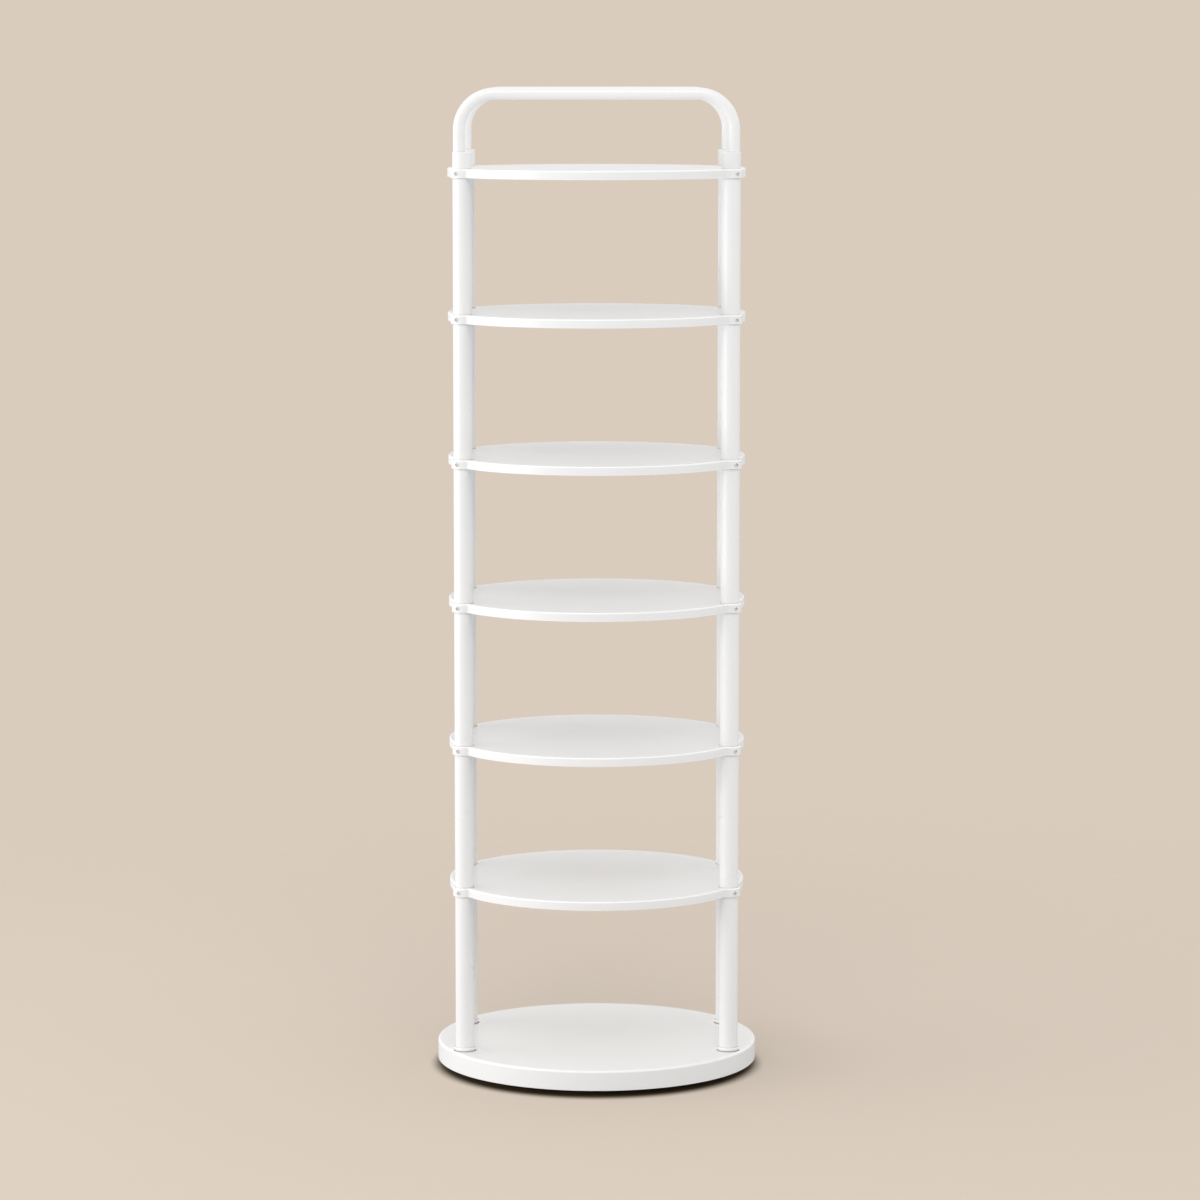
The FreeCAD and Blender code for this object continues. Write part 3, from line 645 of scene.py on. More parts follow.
def shelf_patches(sizes, top):
    """All faces of one shelf whose top is at height top: rim, top, ribbed hollow, the rings round the
    posts and the rim's lower face."""
    _, limit = hollow_corner(sizes)
    pocket = sizes.radius - sizes.rim_wall
    disc = Disc(limit, pocket, sizes.ear_radius, sizes.rib_width, sizes.spokes, 0.0)
    low = top - sizes.thickness
    ribs_low = low + sizes.rib_lift

    def line(corner, inset):
        return shelf_outline(sizes, inset, corner)

    flat, edge = disc_top(disc, sizes.radius - sizes.top_round, POST_RING * math.sin(limit), top)
    half = sizes.rib_width / 2
    ribs = [
        (sizes.inner_ring - half, sizes.inner_ring + half, False, True),
        (sizes.outer_ring - half, sizes.outer_ring + half, True, True),
    ]
    patches = [rim(sizes, disc, sizes.thickness, top, line), flat]
    patches += hollow(disc, ring_rows(ribs, TO_POSTS), top - sizes.skin, ribs_low, (low, ribs_low))
    pocket_edge = disc.edge(disc.turns)
    hole, lip, relief = sizes.hole_radius, sizes.hole_lip, sizes.hole_relief
    rings = [(hole + lip, top), (hole, top - lip), (hole, low + relief), (hole + relief, low)]
    for corner in CORNERS:
        rays = disc.inside(corner)[::-1]
        back = rays[1:-1]
        upper = np.concatenate([
            with_z(line(corner, sizes.top_round), top), polar(edge[back], disc.turns[back], top)])
        lower = np.concatenate([
            with_z(line(corner, sizes.bottom_round), low), polar(pocket_edge[rays], disc.turns[rays], low)])
        split = len(upper) - len(back)
        upper = np.concatenate([upper[:split], upper[split - 1:], upper[:1]])
        patches.append(hole_grid(corner, upper, rings, lower))
    for run in disc.between(disc.limit):
        turns = disc.turns[run]
        radii = (sizes.radius - sizes.bottom_round, pocket)
        patches.append(sheet(np.stack([polar(radius, turns, low) for radius in radii])))
    return patches


class RACK_OT_shelves(Operator):
    """Six ribbed shelf discs with a ring round each post"""

    bl_idname = "rack.shelves"
    bl_label = "Shelves"

    def execute(self, context):
        sizes = context.scene.rack_shelf
        for number, top in enumerate(SHELF_TOPS, 1):
            patches = shelf_patches(sizes, top)
            white = finish("moulded_white")
            piece("shelf_disc_%d" % number, patches, ["shelf_%d" % number], white)
        return {"FINISHED"}


def foot_hole(sizes, corner, upper):
    """The stepped hole for a bush and a post's foot, from the base's top down to its closed floor."""
    socket, bore, ledge = sizes.socket_radius, sizes.bore_radius, bush_low[2]
    rings = [
        (socket + sizes.socket_lip, sizes.top), (socket, sizes.top - sizes.socket_lip), (socket, ledge),
        (bore, ledge), (bore, sizes.bore_low)]
    return hole_grid(corner, upper, rings)


def foot_boss(sizes, disc, corner, levels):
    """The boss round a foot hole, seen from below: its lower face, and the part of its side and of the
    skirt between it and the rim."""
    rays = disc.inside(corner, disc.boss_limit)
    off, turns = disc.off[rays], disc.turns[rays]
    near = near_side(POST_RING, disc.boss, off)
    far = np.minimum(near_side(POST_RING, disc.boss, off, 1.0), disc.pocket)
    patches = [sheet(np.stack([polar(near, turns, levels[0]), polar(far, turns, levels[0])]))]
    for chosen in (off <= -disc.crossing + SAME, off >= disc.crossing - SAME):
        side, edge = turns[chosen], far[chosen]
        for radius in (edge, np.full(len(side), disc.pocket)):
            patches.append(sheet(np.stack([polar(radius, side, level) for level in levels])))
        radii = (edge + (disc.pocket - edge) * amount for amount in (0.0, 0.5, 1.0))
        patches.append(sheet(np.stack([polar(radius, side, levels[-1]) for radius in radii])))
    return patches


def stud(radius, low, bore, bore_top, ceiling, place, buried=0.6 * MM, soft=0.2 * MM):
    """A round boss with a blind hole from below, let a little way into the ceiling."""
    head = ceiling + buried
    profile = rounded([
        (0.0, head, 0.0), (radius, head, 0.0), (radius, low, soft), (bore, low, soft), (bore, bore_top, 0.0),
        (0.0, bore_top, 0.0)], closed=False, steps=3)
    return sheet(lathe(profile, place, 48), wrap_columns=True)


def base_feet(sizes, disc, steps, levels):
    """The holes and bosses for the posts' feet, and the part of the top round each hole: a closed line
    out to the rim, along it and back."""
    patches = []
    for corner in CORNERS:
        turns = disc.turns[disc.inside(corner)]
        upper = np.concatenate([
            polar(steps[0], turns, sizes.top), polar(steps[1:-1], turns[-1], sizes.top),
            polar(steps[-1], turns[::-1], sizes.top), polar(steps[-2:0:-1], turns[0], sizes.top)])
        patches.append(foot_hole(sizes, corner, upper))
        patches += foot_boss(sizes, disc, corner, levels)
    return patches


def base_studs(sizes, ceiling):
    """The hub for the centre pivot, and the bosses for the race's screws in equal steps round it."""
    patches = [stud(sizes.hub_radius, sizes.hub_low, sizes.hub_bore, sizes.hub_bore_top, ceiling, (0.0, 0.0))]
    for turn in once_round(sizes.race_screws):
        place = (sizes.race_circle * math.cos(turn), sizes.race_circle * math.sin(turn))
        boss = (sizes.screw_boss, sizes.rib_low, sizes.screw_bore, sizes.screw_bore_top)
        patches.append(stud(*boss, ceiling, place))
    return patches


def base_patches(sizes):
    """All faces of the base: rim, top, ribbed hollow, the skirt's lower face and inner side, feet and
    studs."""
    reach = sizes.radius - sizes.top_round
    pocket = sizes.radius - sizes.rim_wall
    around = sizes.socket_radius + sizes.socket_margin
    disc = Disc(math.asin(around / POST_RING), pocket, sizes.boss_radius, sizes.rib_width, sizes.spokes, 0.5)
    turns = disc.turns

    def line(corner, inset):
        return polar(sizes.radius - inset, turns[disc.inside(corner)])[:, :2]

    near = POST_RING - around
    steps = np.linspace(reach, near, 15)
    patches = [
        rim(sizes, disc, sizes.top - sizes.low, sizes.top, line, steps=10),
        sheet(polar(near * INWARDS[:, None], turns[None], sizes.top), wrap_columns=True),
    ]
    patches += [sheet(polar(steps[:, None], turns[run][None], sizes.top)) for run in disc.between(disc.limit)]
    ceiling = sizes.top - sizes.skin
    ribs = [
        (sizes.race_inner, sizes.race_inner + sizes.race_wall, True, False),
        (sizes.race_outer - sizes.race_wall, sizes.race_outer, False, True),
    ]
    rows = ring_rows(ribs, TO_POSTS, TO_WALL, sizes.hub_radius * ROUND_HUB)
    levels = (sizes.boss_low, sizes.rib_low)
    patches += hollow(disc, rows, ceiling, sizes.rib_low, levels)
    skirt = ((sizes.radius - sizes.bottom_round, sizes.low), (pocket, sizes.low), (pocket, sizes.boss_low))
    patches.append(sheet(np.stack([polar(radius, turns, z) for radius, z in skirt]), wrap_columns=True))
    patches += base_feet(sizes, disc, steps, (*levels, ceiling))
    return patches + base_studs(sizes, ceiling)


class RACK_OT_base(Operator):
    """The thick base disc with its skirt, foot sockets and ribs"""

    bl_idname = "rack.base"
    bl_label = "Base"

    def execute(self, context):
        patches = base_patches(context.scene.rack_base)
        piece("base_disc", patches, ["base_shell"], finish("moulded_white"))
        return {"FINISHED"}


# Tubes
def tube_profile(inner, outer, low, high, soft):
    """Closed profile of a straight tube: outer wall up, upper lip, inner wall down, lower lip."""
    return rounded([(outer, low, soft), (outer, high, soft), (inner, high, soft), (inner, low, soft)])


def bush_profile(sizes, low, high, level):
    """Closed profile of a foot bush, with a shallow groove just over the base's top face."""
    inner, outer, soft = sizes.radius + sizes.bush_gap, sizes.bush_radius, 0.2 * MM
    waist = outer - sizes.bush_groove
    narrows, narrow, widens, wide = level + np.array([-1.2, -0.5, 0.6, 1.1]) * MM
    return rounded([
        (outer, low, sizes.lip), (outer, narrows, 0.0), (waist, narrow, soft), (waist, widens, soft),
        (outer, wide, soft), (outer, high, sizes.bush_round), (inner, high, soft), (inner, low, soft)])


class RACK_OT_posts(Operator):
    """Four posts, each of three lengths of tube, and the bushes at their feet"""

    bl_idname = "rack.posts"
    bl_label = "Posts"

    def execute(self, context):
        sizes = context.scene.rack_tube
        inner = sizes.radius - sizes.wall
        for corner in CORNERS:
            axis = post_axis(corner)
            for part in LENGTHS:
                node = "post_%s_%s" % (corner, part)
                low, high = box_of(node)
                tube = lathe(tube_profile(inner, sizes.radius, low[2], high[2], sizes.lip), axis)
                name = "tube_%s_%s" % (corner, part)
                piece(name, [sheet(tube, True, True)], [node], finish("powder_coat"))
            node = "foot_bush_" + corner
            low, high = box_of(node)
            bush = lathe(bush_profile(sizes, low[2], high[2], context.scene.rack_base.top), axis)
            white = finish("moulded_white")
            piece("bush_" + corner, [sheet(bush, True, True)], [node], white)
        return {"FINISHED"}


def leg_offset(corner):
    """How far a bow's leg stands outside its post's axis along X."""
    low, high = box_of("bow_" + corner.split("_")[0])
    radius = (high[1] - low[1]) / 2
    return high[0] - radius - abs(post_axis(corner)[0])


def socket_profiles(sizes, tube, low, top):
    """A socket's outside, from the underside of its web down, round its spigot and up to its upper edge,
    and its inside, from that edge down the bore to the bore's floor."""
    bore, plug = sizes.radius + sizes.bow_gap, tube.radius - tube.wall - sizes.spigot_gap
    shoulder, floor = low + sizes.socket_spigot, top - sizes.socket_bore
    core, soft, outer = sizes.spigot_core, sizes.soft, sizes.socket_radius
    land = outer - sizes.edge_round - 0.05 * MM
    web = floor - sizes.web
    outside = rounded([
        (0.0, web, 0.0), (core, web, 0.0), (core, low, soft), (plug, low, soft), (plug, shoulder, 0.0),
        (outer, shoulder, soft), (outer, top, sizes.edge_round), (land, top, 0.0)], closed=False)
    inside = rounded([
        (land, top, 0.0), (bore, top, soft), (bore, floor, 0.0), (0.0, floor, 0.0)], closed=False)
    return outside, inside[1:]


class RACK_OT_sockets(Operator):
    """The sockets on the post tops that hold the bows"""

    bl_idname = "rack.sockets"
    bl_label = "Sockets"

    def execute(self, context):
        for corner in CORNERS:
            node = "bow_socket_" + corner
            low, high = box_of(node)
            profiles = socket_profiles(context.scene.rack_bow, context.scene.rack_tube, low[2], high[2])
            shift = side_x(corner) * leg_offset(corner)
            drift = np.repeat([0.0, shift], [len(profile) for profile in profiles])
            grid = lathe(np.concatenate(profiles), post_axis(corner), drift=drift)
            white = finish("moulded_white")
            piece("socket_" + corner, [sheet(grid, False, True)], [node], white)
        return {"FINISHED"}


def bow_line(x_leg, foot, bar, bend):
    """Centreline of a bow in X and Z: leg, quarter bend, bar, quarter bend, leg; with the direction at
    each point. The left half is worked out, and the right half is its mirror image in reverse."""
    turn = np.linspace(0, np.pi / 2, 25)
    leg = np.linspace(foot, bar - bend, 7)[:-1]
    across = np.linspace(-x_leg + bend, 0.0, 6)[1:]
    x = np.concatenate([np.full(len(leg), -x_leg), -x_leg + bend * (1 - np.cos(turn)), across])
    z = np.concatenate([leg, bar - bend + bend * np.sin(turn), np.full(len(across), bar)])
    way = np.concatenate([np.full(len(leg), np.pi / 2), np.pi / 2 - turn, np.zeros(len(across))])
    return [np.concatenate([half, sign * half[-2::-1]]) for half, sign in ((x, -1), (z, 1), (way, -1))]


def pipe(x, z, way, y, radius, count=96):
    """Circle of a radius carried along a line in a plane of constant y, square to the line's direction."""
    turn = once_round(count)
    across, up = np.cos(turn)[None] * radius, np.sin(turn)[None] * radius
    grid = np.empty((len(x), count, 3))
    grid[..., 0] = x[:, None] - np.sin(way)[:, None] * up
    grid[..., 1] = y + across
    grid[..., 2] = z[:, None] + np.cos(way)[:, None] * up
    return grid


class RACK_OT_bows(Operator):
    """The front and the rear bow of bent tube"""

    bl_idname = "rack.bows"
    bl_label = "Bows"

    def execute(self, context):
        sizes = context.scene.rack_bow
        for place in BOWS:
            low, high = box_of("bow_" + place)
            y = (low[1] + high[1]) / 2
            line = bow_line(high[0] - sizes.radius, low[2], high[2] - sizes.radius, sizes.bend)
            outer = pipe(*line, y, sizes.radius)
            inner = pipe(*line, y, sizes.radius - sizes.wall)[::-1]
            patches = [sheet(np.concatenate([outer, inner]), True, True)]
            piece("bow_tube_" + place, patches, ["bow_" + place], finish("powder_coat"))
        return {"FINISHED"}


# Screws
def smooth(value):
    """Rises from 0 at 0 to 1 at 1, level at both ends: three squares less two cubes."""
    value = np.clip(value, 0.0, 1.0)
    return value * value * (3 - 2 * value)


def screw_patch(sizes, rows=22, columns=56, soft=0.18 * MM, least=0.3 * MM):
    """A round-headed screw along +Z: a ball cap less a cross recess, whose arms fade out at their ends
    and sides and leave the head at least a little height, a flat underside and a shank."""
    height, radius = sizes.head_height, sizes.head_radius
    ball = (radius ** 2 + height ** 2) / (2 * height)
    r = radius * np.linspace(0, 1, rows)[:, None]
    turn = once_round(columns)[None]
    x, y = r * np.cos(turn), r * np.sin(turn)
    cap = np.sqrt(np.maximum(ball ** 2 - r ** 2, 0.0)) - (ball - height) + 0.0 * turn
    arms = []
    for along, over in ((x, y), (y, x)):
        width = smooth((sizes.slot_width / 2 - np.abs(over)) / soft + 0.5)
        reach = smooth((sizes.slot_length / 2 - np.abs(along)) / (3 * soft) + 0.5)
        arms.append(width * reach)
    cap = cap - np.minimum(sizes.slot_depth * np.maximum(*arms), np.maximum(cap - least, 0.0))
    foot = -sizes.shank_length
    shank = rounded([
        (radius, 0.0, 0.0), (sizes.shank_radius, 0.0, 0.0), (sizes.shank_radius, foot, 0.2 * MM),
        (0.0, foot, 0.0)], closed=False, steps=3)
    return np.concatenate([np.stack([x, y, cap], axis=-1), lathe(shank, (0.0, 0.0), columns)])


# Angles of the cross recesses, in degrees: the middle one, and the step between the five that occur
RECESS_TURN, RECESS_STEP = 45.0, 23.0


class RACK_OT_screws(Operator):
    """The round-headed screws that clamp the shelves to the posts"""

    bl_idname = "rack.screws"
    bl_label = "Screws"

    def execute(self, context):
        sizes = context.scene.rack_screw
        thickness = context.scene.rack_shelf.thickness
        grid = screw_patch(sizes)
        patches = []
        for number, top in enumerate(SHELF_TOPS):
            for place, corner in enumerate(CORNERS):
                outwards, ahead = side_x(corner) * math.sin(sizes.turn), side_y(corner) * math.cos(sizes.turn)
                way = np.array([outwards, ahead, 0.0])
                # The recesses stand unevenly, as those of screws driven by hand do
                twist = math.radians(RECESS_TURN + RECESS_STEP * ((number * 7 + place * 3) % 5 - 2))
                side = np.cross(UP, way)
                first = side * math.cos(twist) + UP * math.sin(twist)
                second = np.cross(way, first)
                seat = np.append(post_axis(corner), top - thickness / 2) + way * sizes.seat
                patches.append(sheet(seat + grid @ np.stack([first, second, way]), False, True))
        piece("ear_screws", patches, ["shelf_screws"], finish("plated_screw"), 40.0)
        return {"FINISHED"}


# Finishes
NUMBER, COLOUR = "NodeSocketFloat", "NodeSocketColor"


def feed(tree, socket, value):
    """Sets a socket to a number, a place or a colour of three numbers, or links another socket to it."""
    if isinstance(value, bpy.types.NodeSocket):
        tree.links.new(value, socket)
    elif socket.type == "RGBA":
        socket.default_value = (*value, 1.0)
    else:
        socket.default_value = value


def add(tree, kind, output, inputs, **options):
    """One output of a new shader node, whose inputs are fed and whose own settings are set first."""
    node = tree.nodes.new("ShaderNode" + kind)
    for name, value in options.items():
        setattr(node, name, value)
    for label, value in inputs.items():
        feed(tree, node.inputs[label], value)
    return node.outputs[output]


def object_place(tree):
    """The tree's own Object coordinates, made the first time they are asked for."""
    node = tree.nodes.get("Object place") or tree.nodes.new("ShaderNodeTexCoord")
    node.name = "Object place"
    return node.outputs["Object"]


def noise(tree, scale, detail, roughness):
    """Cloudy pattern fixed to the piece, from 0 to 1."""
    inputs = {"Vector": object_place(tree), "Scale": scale, "Detail": detail, "Roughness": roughness}
    return add(tree, "TexNoise", "Fac", inputs)


def maths(tree, operation, first, second):
    """One sum of two numbers or sockets."""
    return add(tree, "Math", "Value", {0: first, 1: second}, operation=operation)


def ramp(tree, value, low, high):
    """Rises smoothly from 0 at low to 1 at high."""
    inputs = {"Value": value, "From Min": low, "From Max": high}
    return add(tree, "MapRange", "Result", inputs, interpolation_type="SMOOTHSTEP")


def blend(tree, amount, first, second, kind="RGBA"):
    """Goes from the first colour, or number, to the second with the amount."""
    return add(tree, "Mix", "Result", {"Factor": amount, "A": first, "B": second}, data_type=kind)


def fine_skin(tree, given):
    """Fine height of a moulded or coated skin: a slow wave and a fine grain, each with its own scale and
    depth."""
    slow = maths(tree, "MULTIPLY", noise(tree, given["Wave scale"], 1.5, 0.5), given["Wave depth"])
    fine = maths(tree, "MULTIPLY", noise(tree, given["Grain scale"], 2.0, 0.6), given["Grain depth"])
    return [maths(tree, "ADD", slow, fine)]


def tone_and_dust(tree, given):
    """A colour that drifts slowly over the surface towards a second one, with a little dust where the
    surface faces up. The dust lies where a fine noise is over six tenths."""
    drift = maths(tree, "MULTIPLY", noise(tree, given["Drift scale"], 3.0, 0.55), given["Drift"])
    tone = blend(tree, drift, given["Colour"], given["Far colour"])
    height = add(tree, "SeparateXYZ", "Z", {0: add(tree, "NewGeometry", "Normal", {})})
    upward = maths(tree, "MAXIMUM", height, 0.0)
    spotted = maths(tree, "GREATER_THAN", noise(tree, 900.0, 4.0, 0.7), 0.6)
    mask = maths(tree, "MULTIPLY", maths(tree, "MULTIPLY", upward, spotted), given["Dust"])
    return [blend(tree, mask, tone, given["Dust colour"]), mask]


def wandering_roughness(tree, given):
    """A roughness that wanders between two values, in cloudy patches."""
    cloud = noise(tree, given["Scale"], 4.0, 0.6)
    limits = {"From Min": 0.3, "From Max": 0.7, "To Min": given["Smoothest"], "To Max": given["Roughest"]}
    return [add(tree, "MapRange", "Result", {"Value": cloud, **limits})]


def painted_edge_highlight(tree, given):
    """Where the piece's "edge" attribute is high, the colour turns paler, a painted highlight along rounded
    edges, and the surface smoother; a slow noise makes the amount uneven."""
    edge = add(tree, "Attribute", "Fac", {}, attribute_name="edge")
    uneven = maths(tree, "ADD", maths(tree, "MULTIPLY", noise(tree, 60.0, 2.0, 0.5), 0.3), 0.85)
    amount = maths(tree, "MULTIPLY", maths(tree, "MULTIPLY", edge, uneven), given["Amount"])
    amount = maths(tree, "MINIMUM", amount, 1.0)
    tone = blend(tree, amount, given["Colour"], given["Edge colour"])
    roughness = blend(tree, amount, given["Roughness"], given["Edge roughness"], "FLOAT")
    return [tone, roughness]


def painted_gap_shade(tree, given):
    """Painted shade: the colour turns towards a second one in gaps and inner corners, where less than 70
    per cent of the sky is open, and wholly where less than 20 per cent is."""
    sky = add(tree, "AmbientOcclusion", "AO", {"Distance": given["Reach"]}, samples=8)
    closed = ramp(tree, maths(tree, "SUBTRACT", 1.0, sky), 0.3, 0.8)
    amount = maths(tree, "MULTIPLY", closed, given["Amount"])
    return [blend(tree, amount, given["Colour"], given["Gap colour"])]


# Effects that the materials share: what works each out, its inputs with their defaults, and its outputs
EFFECTS = {
    "Fine skin": (
        fine_skin, [
            ("Wave scale", 300.0), ("Wave depth", 0.6), ("Grain scale", 2500.0), ("Grain depth", 0.4)],
        [("Height", NUMBER)]),
    "Tone and dust": (
        tone_and_dust, [
            ("Colour", (0.8, 0.8, 0.8, 1.0)), ("Far colour", (0.7, 0.7, 0.7, 1.0)), ("Drift scale", 6.0),
            ("Drift", 0.3), ("Dust colour", (0.6, 0.57, 0.52, 1.0)), ("Dust", 0.03)],
        [("Colour", COLOUR), ("Dust mask", NUMBER)]),
    "Wandering roughness": (
        wandering_roughness, [("Scale", 20.0), ("Smoothest", 0.3), ("Roughest", 0.4)],
        [("Roughness", NUMBER)]),
    "Polished edges": (
        painted_edge_highlight, [
            ("Colour", (0.8, 0.8, 0.8, 1.0)), ("Edge colour", (0.9, 0.9, 0.9, 1.0)), ("Roughness", 0.4),
            ("Edge roughness", 0.3), ("Amount", 0.8)],
        [("Colour", COLOUR), ("Roughness", NUMBER)]),
    "Shaded gaps": (
        painted_gap_shade, [
            ("Colour", (0.8, 0.8, 0.8, 1.0)), ("Gap colour", (0.3, 0.28, 0.26, 1.0)), ("Reach", 3.0 * MM),
            ("Amount", 0.8)],
        [("Colour", COLOUR)]),
}


def effect_group(name):
    """The shader group of one of the effects, built the first time it is asked for."""
    if name in bpy.data.node_groups:
        return bpy.data.node_groups[name]
    work_out, inputs, outputs = EFFECTS[name]
    tree = bpy.data.node_groups.new(name, "ShaderNodeTree")
    for label, default in inputs:
        kind = NUMBER if isinstance(default, float) else COLOUR
        tree.interface.new_socket(label, in_out="INPUT", socket_type=kind).default_value = default
    for label, kind in outputs:
        tree.interface.new_socket(label, in_out="OUTPUT", socket_type=kind)
    given, out = tree.nodes.new("NodeGroupInput"), tree.nodes.new("NodeGroupOutput")
    for (label, _), socket in zip(outputs, work_out(tree, given.outputs)):
        tree.links.new(socket, out.inputs[label])
    return tree


def effect(tree, name, values):
    """Outputs of an effect placed in a material, fed with the given values and sockets."""
    node = tree.nodes.new("ShaderNodeGroup")
    node.node_tree = effect_group(name)
    for label, value in values.items():
        feed(tree, node.inputs[label], value)
    return node.outputs


# How each finish is made: the colour setting it starts from, how its far colour and roughness differ over the
# surface, its clear coat, its skin, its dust and the strength of its painted edge highlight
RECIPES = {
    "powder_coat": dict(
        tone="coat", far=0.985, rough=(0.27, 0.34), coat=0.25, bump=0.03, wave=420.0, grain=2600.0,
        dust=0.01),
    "moulded_white": dict(
        tone="shell", far=0.985, rough=(0.33, 0.41), coat=0.3, bump=0.03, wave=180.0, grain=3800.0, dust=0.02,
        edge=0.9),
    "moulded_black": dict(
        tone="black", far=1.5, rough=(0.45, 0.6), bump=0.06, wave=250.0, grain=3000.0, dust=0.15),
    "pad_rubber": dict(
        tone="rubber", far=1.3, rough=(0.7, 0.85), bump=0.1, wave=600.0, grain=3500.0, dust=0.2),
    "nylon": dict(
        tone="nylon", far=0.95, rough=(0.4, 0.5), bump=0.05, wave=250.0, grain=2200.0, dust=0.02),
    "zinc_plate": dict(
        tone="zinc", far=0.82, rough=(0.28, 0.42), bump=0.05, wave=500.0, grain=5200.0, dust=0.02, metal=1.0),
    "plated_screw": dict(
        tone="screw", far=0.9, rough=(0.26, 0.34), coat=0.2, bump=0.04, wave=700.0, grain=5200.0, dust=0.0),
    "ball_steel": dict(
        tone="steel", far=0.95, rough=(0.08, 0.14), bump=0.01, wave=900.0, grain=6000.0, dust=0.0, metal=1.0),
}


# What all finishes share: the scales of the drift and of the patches of roughness
DRIFT_SCALE, PATCH_SCALE = 7.0, 26.0
# How much paler the painted edge highlight is than the tone, the palest it may get, and an edge's share of
# the least roughness
HIGHLIGHT_PALER, HIGHLIGHT_PALEST, EDGE_SMOOTHER = 1.15, 0.98, 0.6
# Painted shade in gaps: the share of the tone's brightness left in a gap, how much of that shade is laid
# on, and how wide a gap may be
PAINTED_SHADE_DARKER, PAINTED_SHADE_AMOUNT, GAP_REACH = 0.35, 0.8, 3.0 * MM
COAT_ROUGHNESS, SKIN_DEPTH = 0.12, 0.2 * MM


def finish(name):
    """One of the rack's materials, built the first time it is asked for: the tone drifts and gathers
    dust, gets a painted highlight at edges and painted shade in gaps, and the roughness wanders and falls
    at edges."""
    if name in bpy.data.materials:
        return bpy.data.materials[name]
    recipe = RECIPES[name]
    material = bpy.data.materials.new(name)
    material.use_nodes = True
    tree = material.node_tree
    tone = tuple(getattr(bpy.context.scene.rack_finish, recipe["tone"]))
    far = tuple(min(value * recipe["far"], 1.0) for value in tone)
    edge_highlight = tuple(min(value * HIGHLIGHT_PALER, HIGHLIGHT_PALEST) for value in tone)
    gap = tuple(value * PAINTED_SHADE_DARKER for value in tone)
    smoothest, roughest = recipe["rough"]
    drift = effect(tree, "Tone and dust", {
        "Colour": tone, "Far colour": far, "Drift scale": DRIFT_SCALE, "Drift": 1.0,
        "Dust": recipe["dust"]})
    sheen = effect(tree, "Wandering roughness", {
        "Scale": PATCH_SCALE, "Smoothest": smoothest, "Roughest": roughest})
    skin = effect(tree, "Fine skin", {"Wave scale": recipe["wave"], "Grain scale": recipe["grain"]})
    # Painted highlight on rounded edges, where the roughness also falls
    edges = effect(tree, "Polished edges", {
        "Colour": drift["Colour"], "Edge colour": edge_highlight, "Roughness": sheen["Roughness"],
        "Edge roughness": smoothest * EDGE_SMOOTHER, "Amount": recipe.get("edge", 0.4)})
    # Painted shade in gaps and inner corners
    gaps = effect(tree, "Shaded gaps", {
        "Colour": edges["Colour"], "Gap colour": gap, "Reach": GAP_REACH, "Amount": PAINTED_SHADE_AMOUNT})
    bump = {"Strength": recipe["bump"], "Distance": SKIN_DEPTH, "Height": skin["Height"]}
    settings = {
        "Base Color": gaps["Colour"],
        "Roughness": edges["Roughness"],
        "Normal": add(tree, "Bump", "Normal", bump),
        "Metallic": recipe.get("metal", 0.0),
        "Coat Weight": recipe.get("coat", 0.0),
        "Coat Roughness": COAT_ROUGHNESS,
    }
    shader = tree.nodes["Principled BSDF"]
    for label, value in settings.items():
        feed(tree, shader.inputs[label], value)
    return material


# Finishes of the nodes that keep their own shape, by how their names start
KEPT_FINISHES = (
    ("foot_disc", "moulded_black"),
    ("foot_pad", "pad_rubber"),
    ("ball_cage", "nylon"),
    ("end_plug", "nylon"),
    ("bearing_balls", "ball_steel"),
    ("", "zinc_plate"),
)


class RACK_OT_inner_parts(Operator):
    """Finishes on the turntable, the bolts and the other parts that keep their own shape"""

    bl_idname = "rack.inner_parts"
    bl_label = "Turntable and fasteners"

    def execute(self, context):
        for name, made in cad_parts.items():
            if made.hide_render:
                continue
            chosen = next(material for start, material in KEPT_FINISHES if name.startswith(start))
            made.data.materials.clear()
            made.data.materials.append(finish(chosen))
        return {"FINISHED"}


# Studio
def floor_material(studio):
    """Matt floor that fades into the backdrop with its distance from the rack, and is clear from below.
    Its colour holds a painted shadow up to a little way beyond the base's rim, round and lying somewhat
    forward."""
    material = bpy.data.materials.new("studio_floor")
    material.use_nodes = True
    tree = material.node_tree
    shader = tree.nodes["Principled BSDF"]
    middles = ((0.0, -studio.contact_shift, 0.0), (0.0, 0.0, 0.0))
    from_shade, from_rack = (
        add(tree, "VectorMath", "Value", {0: object_place(tree), 1: middle}, operation="DISTANCE")
        for middle in middles)
    near, far = base_high[0] - studio.contact_depth, base_high[0] + studio.contact_reach
    # Painted shadow round the base's rim, in the colour the camera sees
    seen = blend(tree, ramp(tree, from_shade, near, far), studio.painted_shadow, studio.floor)
    by_camera = add(tree, "LightPath", "Is Camera Ray", {})
    feed(tree, shader.inputs["Base Color"], blend(tree, by_camera, studio.floor_bounce, seen))
    feed(tree, shader.inputs["Roughness"], 0.9)
    feed(tree, shader.inputs["Specular IOR Level"], 0.0)
    fade = ramp(tree, from_rack, studio.fade_from, studio.fade_to)
    clear = maths(tree, "MAXIMUM", fade, add(tree, "NewGeometry", "Backfacing", {}))
    through = add(tree, "BsdfTransparent", "BSDF", {})
    mixed = add(tree, "MixShader", "Shader", {0: clear, 1: shader.outputs["BSDF"], 2: through})
    tree.links.new(mixed, tree.nodes["Material Output"].inputs["Surface"])
    return material


